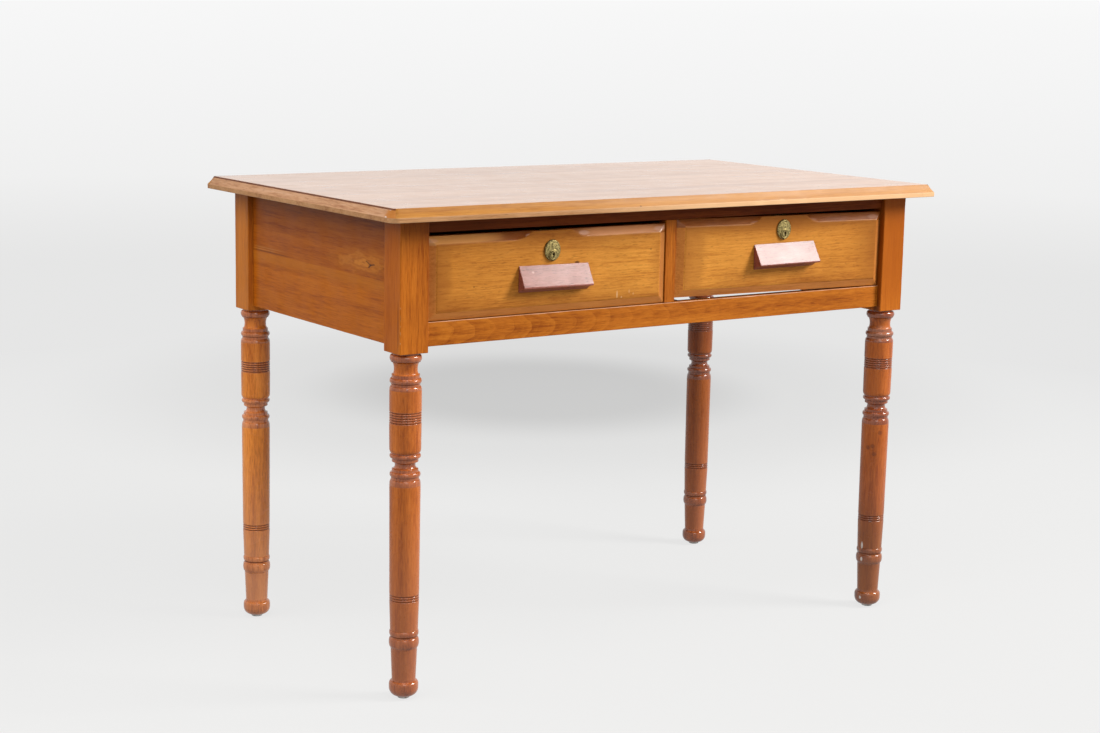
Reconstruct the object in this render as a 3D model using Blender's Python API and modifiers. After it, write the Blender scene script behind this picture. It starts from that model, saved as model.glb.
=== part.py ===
"""Two-drawer writing desk on turned legs, modelled as the separate pieces that it is joined from.

Metres, +Z up, front towards -Y. The desk stands on Z = 0 with the middle of its frame at the origin.
"""
import math

import bmesh
import bpy
from mathutils import Euler, Matrix, Vector

# Overall sizes
DESK_HEIGHT = 0.7495
FRAME_WIDTH = 1.000
FRAME_DEPTH = 0.543

# Gaps between pieces
SEAT_GAP = 0.0003
DRAWER_SIDE_GAP = 0.0015
DRAWER_BOTTOM_GAP = 0.0013
DRAWER_TOP_GAP = 0.0061

# Top: an upright band, a hollowed slope above it and a small quirk at the flat
TOP_THICKNESS = 0.0205
TOP_OVERHANG = 0.0335
TOP_WORN_CORNER = 0.014
TOP_BAND = 0.0075
TOP_QUIRK = 0.0009
TOP_SLOPE_INSET = 0.0076
TOP_SLOPE_HOLLOW = 0.0008
TOP_SLOPE_STEPS = 4

# Posts, aprons and rails
POST_SIDE = 0.0482
POST_LENGTH = 0.1973
APRON_HEIGHT = 0.1895
APRON_THICKNESS = 0.020
SIDE_RECESS = 0.009
BACK_RECESS = 0.009
FRONT_RECESS = 0.008
LOWER_RAIL_HEIGHT = 0.0363
RAIL_THICKNESS = 0.018
UPPER_RAIL_THICKNESS = 0.0203
UPPER_RAIL_DEPTH = 0.045
DIVIDER_WIDTH = 0.020

# Joinery of the frame
TENON_THICKNESS = 0.008
TENON_LENGTH = 0.022
APRON_TENON_SHOULDER = 0.022
RAIL_TENON_SHOULDER = 0.005
STUB_TENON = 0.008
DIVIDER_TENON = 0.006
DOVETAIL_LENGTH = 0.018
DOVETAIL_ROOT = 0.016
DOVETAIL_END = 0.022

# Turned leg. Upper forms are given as drops below the post, lower forms as rises above the floor.
LEG_SIDES = 16
ARC_STEPS = 3
RING_RADIUS = 0.0241
CAP_BEAD = (0.0027, 0.0137, 0.0205, RING_RADIUS)
UPPER_COVE = (0.0137, 0.0330, 0.0205, 0.0193, 0.0177)
UPPER_FILLET = (0.0330, 0.0380, 0.0210)
UPPER_BEAD = (0.0380, 0.0467, 0.0205, RING_RADIUS)
UPPER_GROOVE = (0.0467, 0.0500, 0.0218)
BARREL_TOP = 0.0502
BARREL_BOTTOM = 0.1507
BARREL_SHOULDER = 0.0060
BARREL_RADIUS = 0.0242
BARREL_FOOT_RADIUS = 0.0238
BARREL_REEDS_DROP = 0.0972
BARREL_REED_GROOVES = 5
REED_PITCH = 0.0038
REED_DEPTH = 0.0008
WAIST_BEAD = (0.1525, 0.1590, 0.0212, 0.0235)
WAIST_FILLET = (0.1597, 0.1645, 0.0199)
WAIST_COVE = (0.1650, 0.1750, 0.0188, 0.0188, 0.0154)
WAIST_STEP = (0.1755, 0.1798, 0.0199)
WAIST_RING = (0.1800, 0.1875, 0.0210, 0.0232)
WAIST_GROOVE = (0.1875, 0.1915, 0.0211)
SHAFT_TOP = 0.1917
SHAFT_SHOULDER = 0.0090
SHAFT_RADIUS = 0.0234
SHAFT_REEDS_RISE = 0.1585
SHAFT_REED_GROOVES = 3
SHAFT_REEDS_RADIUS = 0.0225
SHAFT_FOOT_RISE = 0.1075
SHAFT_FOOT_RADIUS = 0.0211
ANKLE_BEAD = (0.1075, 0.0990, 0.0207, 0.0223)
ANKLE_GROOVE_RADIUS = 0.0206
ANKLE_RING = (0.0960, 0.0810, 0.0207, 0.0229)
ANKLE_FILLET_RISE = 0.0785
ANKLE_RADIUS = 0.0201
ANKLE_LOW_RISE = 0.0315
ANKLE_LOW_RADIUS = 0.0181
FOOT_NECK_RISE = 0.0255
FOOT_CROWN_RISE = 0.0172
FOOT_RADIUS = 0.0225
FOOT_FLAT_RADIUS = 0.0105
FOOT_STEPS = 3

# Glide under each foot
GLIDE_HEIGHT = 0.0040
GLIDE_RADIUS = 0.0093
GLIDE_FLAT_RADIUS = 0.0065
GLIDE_EDGE = 0.0012
GLIDE_NAIL_RADIUS = 0.0013
GLIDE_NAIL_LENGTH = 0.012
GLIDE_SIDES = 12

# Drawer supports
RUNNER_HEIGHT = 0.022
RUNNER_LEDGE = 0.022
GUIDE_HEIGHT = 0.018
CENTRE_LEDGE = 0.021
STOP_DEPTH = 0.0304
STOP_WIDTH = 0.040
STOP_HEIGHT = 0.040
GLUE_BLOCK_LEG = 0.025
GLUE_BLOCK_LENGTH = 0.080
GLUE_BLOCK_FROM_MIDDLE = 0.230
PACKING_FROM_RAIL = 0.095
PACKING_LENGTH = 0.320
PACKING_WIDTH = 0.012

# Drawer boards
FIELD_RECESS = 0.003
FRONT_THICKNESS = 0.020
CHAMFER_WIDTH = 0.013
CHAMFER_END_WIDTH = 0.0142
CHAMFER_DEPTH = 0.007
RUNOUT_LENGTH = 0.034
RUNOUT_DIP = 0.0005
RUNOUT_STEPS = 6
SIDE_THICKNESS = 0.011
SIDE_TOP_DROP = 0.006
DRAWER_TAILS = 3
TAIL_LENGTH = 0.0085
TAIL_SHARE = 0.56
TAIL_FLARE = 0.0016
BOTTOM_THICKNESS = 0.006
BOTTOM_RISE = 0.011
GROOVE_DEPTH = 0.005
BACK_THICKNESS = 0.011
BACK_FROM_END = 0.006
BACK_TOP_DROP = 0.004

# Pulls
PULL_WIDTH = 0.129
PULL_LIP = 0.0032
PULL_BELOW_LIP = 0.0070
PULL_HOLLOW = 0.0022
PULL_HOLLOW_STEPS = 4
PULL_EASING = 0.0008

# Locks. The plug turns a crank pin, which lifts the bolt.
LOCK_FACE_WIDTH = 0.0290
LOCK_FACE_HEIGHT = 0.0330
LOCK_FACE_PROUD = 0.0040
LOCK_FACE_POINTS = 28
LOCK_BODY_STEP = 0.0022
LOCK_BEZEL_RADIUS = 0.0082
LOCK_BEZEL_PROUD = 0.0008
PLUG_BELOW_FACE_MIDDLE = 0.0070
PLUG_RADIUS = 0.0058
PLUG_PROUD = 0.0004
PLUG_SIDES = 20
PLUG_RUN_GAP = 0.0003
KEYWAY_WIDTH = 0.0022
KEYWAY_HEIGHT = 0.0080
KEYWAY_DEPTH = 0.0060
CRANK_DISC_RADIUS = 0.0085
CRANK_DISC_THICKNESS = 0.0020
CRANK_THROW = 0.0055
CRANK_PIN_RADIUS = 0.0015
CRANK_PIN_LENGTH = 0.0045
CRANK_PIN_PLAY = 0.0014
CASE_SKIN = 0.0015
CASE_DEPTH = 0.0115
CASE_HALF_WIDTH = 0.020
CASE_BELOW_PLUG = 0.0145
BOLT_HALF_WIDTH = 0.013
BOLT_THICKNESS = 0.004
BOLT_BELOW_PIN = 0.0050
BOLT_BELOW_EDGE = 0.0006
BOLT_MORTISE_DEPTH = 0.0105

# The two drawers were fitted by hand and differ a little. Drops are below the front's top edge, shifts are
# from its middle, flat is what the run-outs leave between them, and lift is how far the inner end stands up.
DRAWERS = {
    "left": {"lock_drop": 0.0302, "lock_shift": -0.0013, "pull_drop": 0.0514, "pull_shift": 0.0024,
             "pull_slope": 0.0312, "pull_projection": 0.0170, "pull_skew": math.radians(0.5),
             "flat": 0.074, "lift": 0.0},
    "right": {"lock_drop": 0.0222, "lock_shift": -0.0022, "pull_drop": 0.0436, "pull_shift": 0.0004,
              "pull_slope": 0.0318, "pull_projection": 0.0190, "pull_skew": math.radians(-1.1),
              "flat": 0.094, "lift": DRAWER_TOP_GAP - SEAT_GAP},
}

# Heights and planes that follow from the sizes above
UNDERSIDE = DESK_HEIGHT - TOP_THICKNESS
POST_BOTTOM = UNDERSIDE - POST_LENGTH
APRON_BOTTOM = UNDERSIDE - APRON_HEIGHT
FRAME_TOP = UNDERSIDE - SEAT_GAP
RAIL_TOP = APRON_BOTTOM + LOWER_RAIL_HEIGHT
UPPER_RAIL_BOTTOM = UNDERSIDE - UPPER_RAIL_THICKNESS
POST_INNER_X = FRAME_WIDTH / 2 - POST_SIDE
POST_INNER_Y = FRAME_DEPTH / 2 - POST_SIDE
LEG_X = FRAME_WIDTH / 2 - POST_SIDE / 2
LEG_Y = FRAME_DEPTH / 2 - POST_SIDE / 2
RAIL_FRONT = -FRAME_DEPTH / 2 + FRONT_RECESS
RAIL_BACK = RAIL_FRONT + RAIL_THICKNESS
UPPER_RAIL_BACK = RAIL_FRONT + UPPER_RAIL_DEPTH
SIDE_APRON_INNER = FRAME_WIDTH / 2 - SIDE_RECESS - APRON_THICKNESS
BACK_APRON_INNER = FRAME_DEPTH / 2 - BACK_RECESS - APRON_THICKNESS
FIELD_Y = -FRAME_DEPTH / 2 + FIELD_RECESS
DRAWER_LENGTH = BACK_APRON_INNER - FIELD_Y - STOP_DEPTH - 2 * SEAT_GAP
OPENING_WIDTH = POST_INNER_X - DIVIDER_WIDTH / 2
DRAWER_MIDDLE_X = (POST_INNER_X + DIVIDER_WIDTH / 2) / 2
FRONT_WIDTH = OPENING_WIDTH - 2 * DRAWER_SIDE_GAP
FRONT_HEIGHT = UPPER_RAIL_BOTTOM - RAIL_TOP - DRAWER_BOTTOM_GAP - DRAWER_TOP_GAP
SIDE_BOTTOM = SEAT_GAP - DRAWER_BOTTOM_GAP
SIDE_TOP = FRONT_HEIGHT - SIDE_TOP_DROP
SIDE_INNER = FRONT_WIDTH / 2 - SIDE_THICKNESS
PANEL_BOTTOM = SIDE_BOTTOM + BOTTOM_RISE
PANEL_TOP = PANEL_BOTTOM + BOTTOM_THICKNESS
CASE_FRONT = FRONT_THICKNESS - CASE_DEPTH
DISC_FRONT = CASE_FRONT + CASE_SKIN / 2
BOLT_FRONT = DISC_FRONT + CRANK_DISC_THICKNESS + SEAT_GAP
OVERCUT = 0.010

# Colour (linear), roughness and metallic value of each finish
FINISHES = {
    "Top wood": ((0.52, 0.27, 0.13), 0.28, 0.0),
    "Post wood": ((0.42, 0.145, 0.032), 0.35, 0.0),
    "Apron wood": ((0.33, 0.115, 0.030), 0.38, 0.0),
    "Rail wood": ((0.44, 0.165, 0.035), 0.35, 0.0),
    "Drawer front wood": ((0.52, 0.225, 0.045), 0.33, 0.0),
    "Pull wood": ((0.30, 0.085, 0.050), 0.22, 0.0),
    "Inner wood": ((0.50, 0.33, 0.17), 0.65, 0.0),
    "Brass": ((0.30, 0.22, 0.075), 0.38, 1.0),
    "Steel": ((0.45, 0.44, 0.42), 0.40, 1.0),
}


def clear_scene():
    """Removes whatever objects the scene holds."""
    for old in list(bpy.data.objects):
        bpy.data.objects.remove(old, do_unlink=True)


def new_collection(name):
    """Makes a collection in the scene."""
    collection = bpy.data.collections.new(name)
    bpy.context.scene.collection.children.link(collection)
    return collection


def make_finishes():
    """Makes one material for each finish."""
    materials = {}
    for name, (colour, roughness, metallic) in FINISHES.items():
        material = bpy.data.materials.new(name)
        material.use_nodes = True
        shader = material.node_tree.nodes["Principled BSDF"]
        shader.inputs["Base Color"].default_value = (*colour, 1.0)
        shader.inputs["Roughness"].default_value = roughness
        shader.inputs["Metallic"].default_value = metallic
        material.diffuse_color = (*colour, 1.0)
        materials[name] = material
    return materials


clear_scene()
DESK = new_collection("Writing desk")
CUTTERS = new_collection("Cutters")
MATERIALS = make_finishes()


def place(name, mesh, finish, parent, location, rotation=(0.0, 0.0, 0.0)):
    """Puts a mesh in the scene, as a piece where it has a finish and otherwise as a cutter."""
    piece = bpy.data.objects.new(name, mesh)
    piece.parent = parent
    piece.location = location
    piece.rotation_euler = rotation
    if finish is None:
        CUTTERS.objects.link(piece)
        piece.hide_render = True
        piece.display_type = "WIRE"
    else:
        DESK.objects.link(piece)
        mesh.materials.append(MATERIALS[finish])
    return piece


def empty(name, location, rotation=(0.0, 0.0, 0.0)):
    """Makes an empty that carries the pieces of a moving body."""
    holder = bpy.data.objects.new(name, None)
    holder.location = location
    holder.rotation_euler = rotation
    DESK.objects.link(holder)
    return holder


def block(name, low, high, finish=None, parent=None):
    """Makes a box between two corners, with its origin in its middle."""
    low = Vector(low)
    high = Vector(high)
    mesh = bpy.data.meshes.new(name)
    shape = bmesh.new()
    bmesh.ops.create_cube(shape, size=1.0)
    bmesh.ops.scale(shape, vec=high - low, verts=shape.verts)
    shape.to_mesh(mesh)
    shape.free()
    return place(name, mesh, finish, parent, (low + high) / 2)


def blocks(name, corners, parent=None):
    """Makes one cutter out of several boxes that stand clear of each other."""
    mesh = bpy.data.meshes.new(name)
    shape = bmesh.new()
    for low, high in corners:
        low = Vector(low)
        high = Vector(high)
        size = Matrix.Diagonal((*(high - low), 1.0))
        bmesh.ops.create_cube(shape, size=1.0, matrix=Matrix.Translation((low + high) / 2) @ size)
    shape.to_mesh(mesh)
    shape.free()
    return place(name, mesh, None, parent, (0.0, 0.0, 0.0))


def outline(name, points, thickness, finish=None, parent=None, location=(0, 0, 0), rotation=(0, 0, 0)):
    """Makes a flat piece from an outline in its own XY plane, half its thickness to each side."""
    curve = bpy.data.curves.new(name, "CURVE")
    curve.dimensions = "2D"
    curve.fill_mode = "BOTH"
    curve.extrude = thickness / 2
    spline = curve.splines.new("POLY")
    spline.points.add(len(points) - 1)
    for knot, (across, along) in zip(spline.points, points):
        knot.co = (across, along, 0.0, 1.0)
    spline.use_cyclic_u = True
    drawn = bpy.data.objects.new(name + " drawn", curve)
    mesh = bpy.data.meshes.new_from_object(drawn)
    bpy.data.objects.remove(drawn)
    shape = bmesh.new()
    shape.from_mesh(mesh)
    bmesh.ops.remove_doubles(shape, verts=shape.verts, dist=1e-6)
    bmesh.ops.recalc_face_normals(shape, faces=shape.faces)
    shape.to_mesh(mesh)
    shape.free()
    mesh.name = name
    return place(name, mesh, finish, parent, location, rotation)


PLAN = (0.0, 0.0, 0.0)
FRONT_VIEW = (math.pi / 2, 0.0, 0.0)
SIDE_VIEW = (math.pi / 2, 0.0, math.pi / 2)


def turned(name, profile, sides, finish=None, parent=None, location=(0, 0, 0), rotation=(0, 0, 0)):
    """Turns a profile of (radius, height) points, which runs from top to bottom, about Z."""
    mesh = bpy.data.meshes.new(name)
    edges = [(index, index + 1) for index in range(len(profile) - 1)]
    mesh.from_pydata([(radius, 0.0, height) for radius, height in profile], edges, [])
    piece = place(name, mesh, finish, parent, location, rotation)
    screw = piece.modifiers.new("Turning", "SCREW")
    screw.axis = "Z"
    screw.angle = 2 * math.pi
    screw.steps = sides
    screw.render_steps = sides
    screw.use_merge_vertices = True
    screw.merge_threshold = 1e-5
    screw.use_smooth_shade = True
    return piece


def boolean(piece, tool, operation):
    """Cuts a tool out of a piece, or joins it on."""
    modifier = piece.modifiers.new(tool.name, "BOOLEAN")
    modifier.operation = operation
    modifier.solver = "EXACT"
    modifier.object = tool
    return piece


def cut(piece, tool):
    """Cuts a tool out of a piece."""
    return boolean(piece, tool, "DIFFERENCE")


def join(piece, tool):
    """Joins a tool on to a piece, which it overlaps."""
    return boolean(piece, tool, "UNION")


def grown(low, high, gap):
    """Gives a box's corners, grown by a gap all round."""
    return tuple(value - gap for value in low), tuple(value + gap for value in high)


# Turned forms, as lists of (radius, height) points from top to bottom
def bead(top, bottom, root, crown):
    """A round bead between two heights."""
    middle = (top + bottom) / 2
    half = (top - bottom) / 2
    turns = [math.pi * step / (ARC_STEPS + 1) for step in range(ARC_STEPS + 2)]
    return [(root + (crown - root) * math.sin(turn), middle + half * math.cos(turn)) for turn in turns]


def cove(top, bottom, top_radius, bottom_radius, neck):
    """A hollow between two heights."""
    middle = (top + bottom) / 2
    half = (top - bottom) / 2
    depth = (top_radius + bottom_radius) / 2 - neck
    points = []
    for step in range(ARC_STEPS + 2):
        turn = math.pi * step / (ARC_STEPS + 1)
        edge = top_radius + (bottom_radius - top_radius) * step / (ARC_STEPS + 1)
        points.append((edge - depth * math.sin(turn), middle + half * math.cos(turn)))
    return points


def shoulder(top, bottom, inner, outer):
    """A rounded shoulder that falls from the inner radius to the outer one."""
    points = []
    for step in range(ARC_STEPS):
        turn = math.pi / 2 * step / (ARC_STEPS - 1)
        points.append((inner + (outer - inner) * math.sin(turn), top - (top - bottom) * (1 - math.cos(turn))))
    return points


def reeds(middle, grooves, radius):
    """A band of fine grooves, turned side by side."""
    points = []
    first = middle + REED_PITCH * grooves / 2
    for count in range(grooves):
        points.append((radius, first - REED_PITCH * count))
        points.append((radius - REED_DEPTH, first - REED_PITCH * (count + 0.5)))
    points.append((radius, first - REED_PITCH * grooves))
    return points


def without_repeats(points):
    """Leaves out a point that lies on the one before it."""
    kept = [points[0]]
    for point in points[1:]:
        if math.dist(point, kept[-1]) > 1e-5:
            kept.append(point)
    return kept


def leg_profile():
    """The leg's turning, from inside the post down to the flat of the foot."""

    def dropped(form, top, bottom, *radii):
        return form(POST_BOTTOM - top, POST_BOTTOM - bottom, *radii)

    def band(top, bottom, radius):
        return [(radius, top), (radius, bottom)]

    nail_hole = GLIDE_NAIL_RADIUS + SEAT_GAP
    nail_top = GLIDE_HEIGHT + GLIDE_NAIL_LENGTH + SEAT_GAP
    foot_flat = GLIDE_HEIGHT
    points = [(0.0, POST_BOTTOM + OVERCUT), (CAP_BEAD[2], POST_BOTTOM + OVERCUT)]
    points += dropped(bead, *CAP_BEAD)
    points += dropped(cove, *UPPER_COVE)
    points += dropped(band, *UPPER_FILLET)
    points += dropped(bead, *UPPER_BEAD)
    points += dropped(band, *UPPER_GROOVE)
    points += dropped(shoulder, BARREL_TOP, BARREL_TOP + BARREL_SHOULDER, UPPER_GROOVE[2], BARREL_RADIUS)
    points += reeds(POST_BOTTOM - BARREL_REEDS_DROP, BARREL_REED_GROOVES, BARREL_RADIUS)
    foot = shoulder(BARREL_SHOULDER, 0.0, WAIST_BEAD[2], BARREL_FOOT_RADIUS)
    points += [(radius, POST_BOTTOM - BARREL_BOTTOM + rise) for radius, rise in reversed(
        [(radius, BARREL_SHOULDER - rise) for radius, rise in foot])]
    points += dropped(bead, *WAIST_BEAD)
    points += dropped(band, *WAIST_FILLET)
    points += dropped(cove, *WAIST_COVE)
    points += dropped(band, *WAIST_STEP)
    points += dropped(bead, *WAIST_RING)
    points += dropped(band, *WAIST_GROOVE)
    points += dropped(shoulder, SHAFT_TOP, SHAFT_TOP + SHAFT_SHOULDER, WAIST_GROOVE[2], SHAFT_RADIUS)
    points += reeds(SHAFT_REEDS_RISE, SHAFT_REED_GROOVES, SHAFT_REEDS_RADIUS)
    points.append((SHAFT_FOOT_RADIUS, SHAFT_FOOT_RISE))
    points += bead(*ANKLE_BEAD)
    points.append((ANKLE_GROOVE_RADIUS, (ANKLE_BEAD[1] + ANKLE_RING[0]) / 2))
    points += bead(*ANKLE_RING)
    points.append((ANKLE_RADIUS, ANKLE_FILLET_RISE))
    points.append((ANKLE_LOW_RADIUS, ANKLE_LOW_RISE))
    points.append(((ANKLE_LOW_RADIUS + FOOT_RADIUS) / 2, FOOT_NECK_RISE))
    for step in range(FOOT_STEPS + 1):
        turn = math.pi / 2 * step / FOOT_STEPS
        radius = FOOT_FLAT_RADIUS + (FOOT_RADIUS - FOOT_FLAT_RADIUS) * math.cos(turn)
        points.append((radius, FOOT_CROWN_RISE - (FOOT_CROWN_RISE - foot_flat) * math.sin(turn)))
    points += [(nail_hole, foot_flat), (nail_hole, nail_top), (0.0, nail_top)]
    return without_repeats(points)


def make_top():
    """The slab, with its front left corner worn round and its edge moulded in steps."""
    half_width = FRAME_WIDTH / 2 + TOP_OVERHANG
    half_depth = FRAME_DEPTH / 2 + TOP_OVERHANG
    top = block("desk_top", (-half_width, -half_depth, UNDERSIDE),
                (half_width, half_depth, UNDERSIDE + TOP_BAND), "Top wood")
    shape = bmesh.new()
    shape.from_mesh(top.data)
    worn = [edge for edge in shape.edges if max(vert.co.x + vert.co.y for vert in edge.verts) < -half_width]
    bmesh.ops.bevel(shape, geom=worn, offset=TOP_WORN_CORNER, segments=2, profile=0.5, affect="EDGES")
    flat = [max(shape.faces, key=lambda face: face.calc_center_median().z)]
    rise = TOP_THICKNESS - TOP_BAND - TOP_QUIRK
    inset_so_far = 0.0
    rise_so_far = 0.0
    for step in range(1, TOP_SLOPE_STEPS + 1):
        share = step / TOP_SLOPE_STEPS
        inset = TOP_SLOPE_INSET * share + TOP_SLOPE_HOLLOW * math.sin(math.pi * share)
        bmesh.ops.inset_region(shape, faces=flat, thickness=inset - inset_so_far,
                               depth=rise * share - rise_so_far, use_even_offset=True)
        inset_so_far = inset
        rise_so_far = rise * share
    bmesh.ops.inset_region(shape, faces=flat, thickness=TOP_QUIRK, depth=0.0, use_even_offset=True)
    bmesh.ops.inset_region(shape, faces=flat, thickness=TOP_QUIRK / 3, depth=TOP_QUIRK, use_even_offset=True)
    shape.to_mesh(top.data)
    shape.free()


def apron_tenon(inner, outer):
    """Where an apron's tenon lies between the apron's inner and outer faces."""
    middle = (inner + outer) / 2
    return middle - TENON_THICKNESS / 2, middle + TENON_THICKNESS / 2


def frame_joints(side, end):
    """The corners of the tenons that enter one leg, on the side (-1 or 1) and end (-1 front, 1 back)."""
    low_z = APRON_BOTTOM + APRON_TENON_SHOULDER
    high_z = UNDERSIDE - APRON_TENON_SHOULDER
    across = sorted(side * value for value in apron_tenon(SIDE_APRON_INNER, SIDE_APRON_INNER + APRON_THICKNESS))
    along = sorted((end * (POST_INNER_Y - OVERCUT), end * (POST_INNER_Y + TENON_LENGTH)))
    joints = {"side": ((across[0], along[0], low_z), (across[1], along[1], high_z))}
    reach = sorted((side * (POST_INNER_X - OVERCUT), side * (POST_INNER_X + TENON_LENGTH)))
    if end > 0:
        depth = apron_tenon(BACK_APRON_INNER, BACK_APRON_INNER + APRON_THICKNESS)
        joints["back"] = ((reach[0], depth[0], low_z), (reach[1], depth[1], high_z))
    else:
        depth = apron_tenon(RAIL_FRONT, RAIL_BACK)
        joints["rail"] = ((reach[0], depth[0], APRON_BOTTOM + RAIL_TENON_SHOULDER),
                          (reach[1], depth[1], RAIL_TOP - RAIL_TENON_SHOULDER))
    return joints


def upper_rail_outline(gap):
    """The upper rail in plan, with a dovetail at each end, grown by a gap at the dovetails."""
    middle = -FRAME_DEPTH / 2 + POST_SIDE / 2
    shoulder_x = POST_INNER_X - SEAT_GAP + gap
    end_x = POST_INNER_X + DOVETAIL_LENGTH + gap
    root = DOVETAIL_ROOT / 2 + gap
    end = DOVETAIL_END / 2 + gap
    half = [(shoulder_x, RAIL_FRONT), (shoulder_x, middle - root), (end_x, middle - end),
            (end_x, middle + end), (shoulder_x, middle + root), (shoulder_x, UPPER_RAIL_BACK)]
    return half + [(-across, along) for across, along in reversed(half)]


def make_legs():
    """Four legs, each a post and turning in one, mortised for the aprons and rails."""
    profile = leg_profile()
    half = POST_SIDE / 2
    for side, side_name in ((-1, "left"), (1, "right")):
        for end, end_name in ((-1, "front"), (1, "back")):
            name = f"leg_{end_name}_{side_name}"
            centre = (side * LEG_X, end * LEG_Y)
            leg = turned(name, profile, LEG_SIDES, "Post wood", location=(*centre, 0.0))
            post = block(name + " post", (centre[0] - half, centre[1] - half, POST_BOTTOM),
                         (centre[0] + half, centre[1] + half, FRAME_TOP))
            join(leg, post)
            mortises = [grown(low, high, SEAT_GAP) for low, high in frame_joints(side, end).values()]
            cut(leg, blocks(name + " mortises", mortises))
            if end < 0:
                socket = outline(name + " dovetail socket", upper_rail_outline(SEAT_GAP), UPPER_RAIL_THICKNESS
                                 + 2 * SEAT_GAP, location=(0, 0, UPPER_RAIL_BOTTOM + UPPER_RAIL_THICKNESS / 2))
                cut(leg, socket)
            make_glide(f"glide_{end_name}_{side_name}", centre)


def make_glide(name, centre):
    """A domed disc with a nail, driven up into the foot."""
    seat = GLIDE_HEIGHT - SEAT_GAP
    profile = [(0.0, GLIDE_HEIGHT + GLIDE_NAIL_LENGTH), (GLIDE_NAIL_RADIUS, GLIDE_HEIGHT + GLIDE_NAIL_LENGTH),
               (GLIDE_NAIL_RADIUS, seat), (GLIDE_RADIUS, seat), (GLIDE_RADIUS, GLIDE_EDGE),
               (GLIDE_FLAT_RADIUS, 0.0), (0.0, 0.0)]
    turned(name, profile, GLIDE_SIDES, "Steel", location=(*centre, 0.0))


def support_joints():
    """Stub tenons of the runners and kickers: name, low corner and high corner, front end then back end."""
    joints = {}
    for level, bottom, top, front in (("runner", RAIL_TOP - RUNNER_HEIGHT, RAIL_TOP, RAIL_BACK),
                                      ("kicker", UPPER_RAIL_BOTTOM, FRAME_TOP, UPPER_RAIL_BACK)):
        middle = (bottom + top) / 2
        low_z = middle - TENON_THICKNESS / 2
        high_z = middle + TENON_THICKNESS / 2
        for name, low_x, high_x in (("left", -POST_INNER_X, -POST_INNER_X + RUNNER_LEDGE),
                                    ("centre", -CENTRE_LEDGE - DIVIDER_WIDTH / 2, CENTRE_LEDGE + DIVIDER_WIDTH / 2),
                                    ("right", POST_INNER_X - RUNNER_LEDGE, POST_INNER_X)):
            low_x += STUB_TENON / 2
            high_x -= STUB_TENON / 2
            joints[level, name] = (
                ((low_x, front - STUB_TENON, low_z), (high_x, front + OVERCUT, high_z)),
                ((low_x, BACK_APRON_INNER - OVERCUT, low_z), (high_x, BACK_APRON_INNER + STUB_TENON, high_z)))
    return joints


def make_aprons():
    """Two side aprons and the back one, tenoned into the posts."""
    stubs = support_joints()
    for side, name in ((-1, "left"), (1, "right")):
        faces = sorted((side * SIDE_APRON_INNER, side * (SIDE_APRON_INNER + APRON_THICKNESS)))
        reach = POST_INNER_Y - SEAT_GAP
        apron = block(f"side_apron_{name}", (faces[0], -reach, APRON_BOTTOM), (faces[1], reach, FRAME_TOP),
                      "Apron wood")
        tenons = [frame_joints(side, end)["side"] for end in (-1, 1)]
        join(apron, blocks(apron.name + " tenons", tenons))
    reach = POST_INNER_X - SEAT_GAP
    back = block("back_apron", (-reach, BACK_APRON_INNER, APRON_BOTTOM),
                 (reach, BACK_APRON_INNER + APRON_THICKNESS, FRAME_TOP), "Apron wood")
    join(back, blocks("back_apron tenons", [frame_joints(side, 1)["back"] for side in (-1, 1)]))
    cut(back, blocks("back_apron mortises", [grown(*ends[1], SEAT_GAP) for ends in stubs.values()]))


def divider_tenons():
    """The stub tenons at the foot and head of the divider."""
    half = DIVIDER_WIDTH / 2 - DIVIDER_TENON / 2
    front, back = apron_tenon(RAIL_FRONT, RAIL_BACK)
    return [((-half, front, RAIL_TOP - DIVIDER_TENON), (half, back, RAIL_TOP + OVERCUT)),
            ((-half, front, UPPER_RAIL_BOTTOM - OVERCUT), (half, back, UPPER_RAIL_BOTTOM + DIVIDER_TENON))]


def make_rails():
    """The rails over and under the drawers, and the divider between the drawers."""
    stubs = support_joints()
    foot, head = divider_tenons()
    reach = POST_INNER_X - SEAT_GAP
    lower = block("lower_front_rail", (-reach, RAIL_FRONT, APRON_BOTTOM), (reach, RAIL_BACK, RAIL_TOP), "Rail wood")
    join(lower, blocks("lower_front_rail tenons", [frame_joints(side, -1)["rail"] for side in (-1, 1)]))
    sockets = [grown(*ends[0], SEAT_GAP) for (level, _), ends in stubs.items() if level == "runner"]
    cut(lower, blocks("lower_front_rail mortises", sockets + [grown(*foot, SEAT_GAP)]))

    thickness = FRAME_TOP - UPPER_RAIL_BOTTOM
    upper = outline("upper_front_rail", upper_rail_outline(0.0), thickness, "Rail wood",
                    location=(0, 0, UPPER_RAIL_BOTTOM + thickness / 2))
    sockets = [grown(*ends[0], SEAT_GAP) for (level, _), ends in stubs.items() if level == "kicker"]
    sockets.append(grown(*head, SEAT_GAP))
    sockets += [bolt_mortise(side) for side in ("left", "right")]
    cut(upper, blocks("upper_front_rail mortises", sockets))

    half = DIVIDER_WIDTH / 2
    divider = block("centre_divider", (-half, RAIL_FRONT, RAIL_TOP + SEAT_GAP),
                    (half, RAIL_BACK, UPPER_RAIL_BOTTOM - SEAT_GAP), "Rail wood")
    join(divider, blocks("centre_divider tenons", [foot, head]))


def bolt_mortise(side):
    """The slot in the upper rail that a lock bolt rises into."""
    middle = drawer_place(side)[0][0] + math.sin(drawer_roll(side)) * FRONT_HEIGHT + DRAWERS[side]["lock_shift"]
    half = BOLT_HALF_WIDTH + DRAWER_SIDE_GAP
    front = FIELD_Y + BOLT_FRONT - 2 * SEAT_GAP
    return ((middle - half, front, UPPER_RAIL_BOTTOM - OVERCUT),
            (middle + half, front + BOLT_THICKNESS + 4 * SEAT_GAP, UPPER_RAIL_BOTTOM + BOLT_MORTISE_DEPTH))


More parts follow.
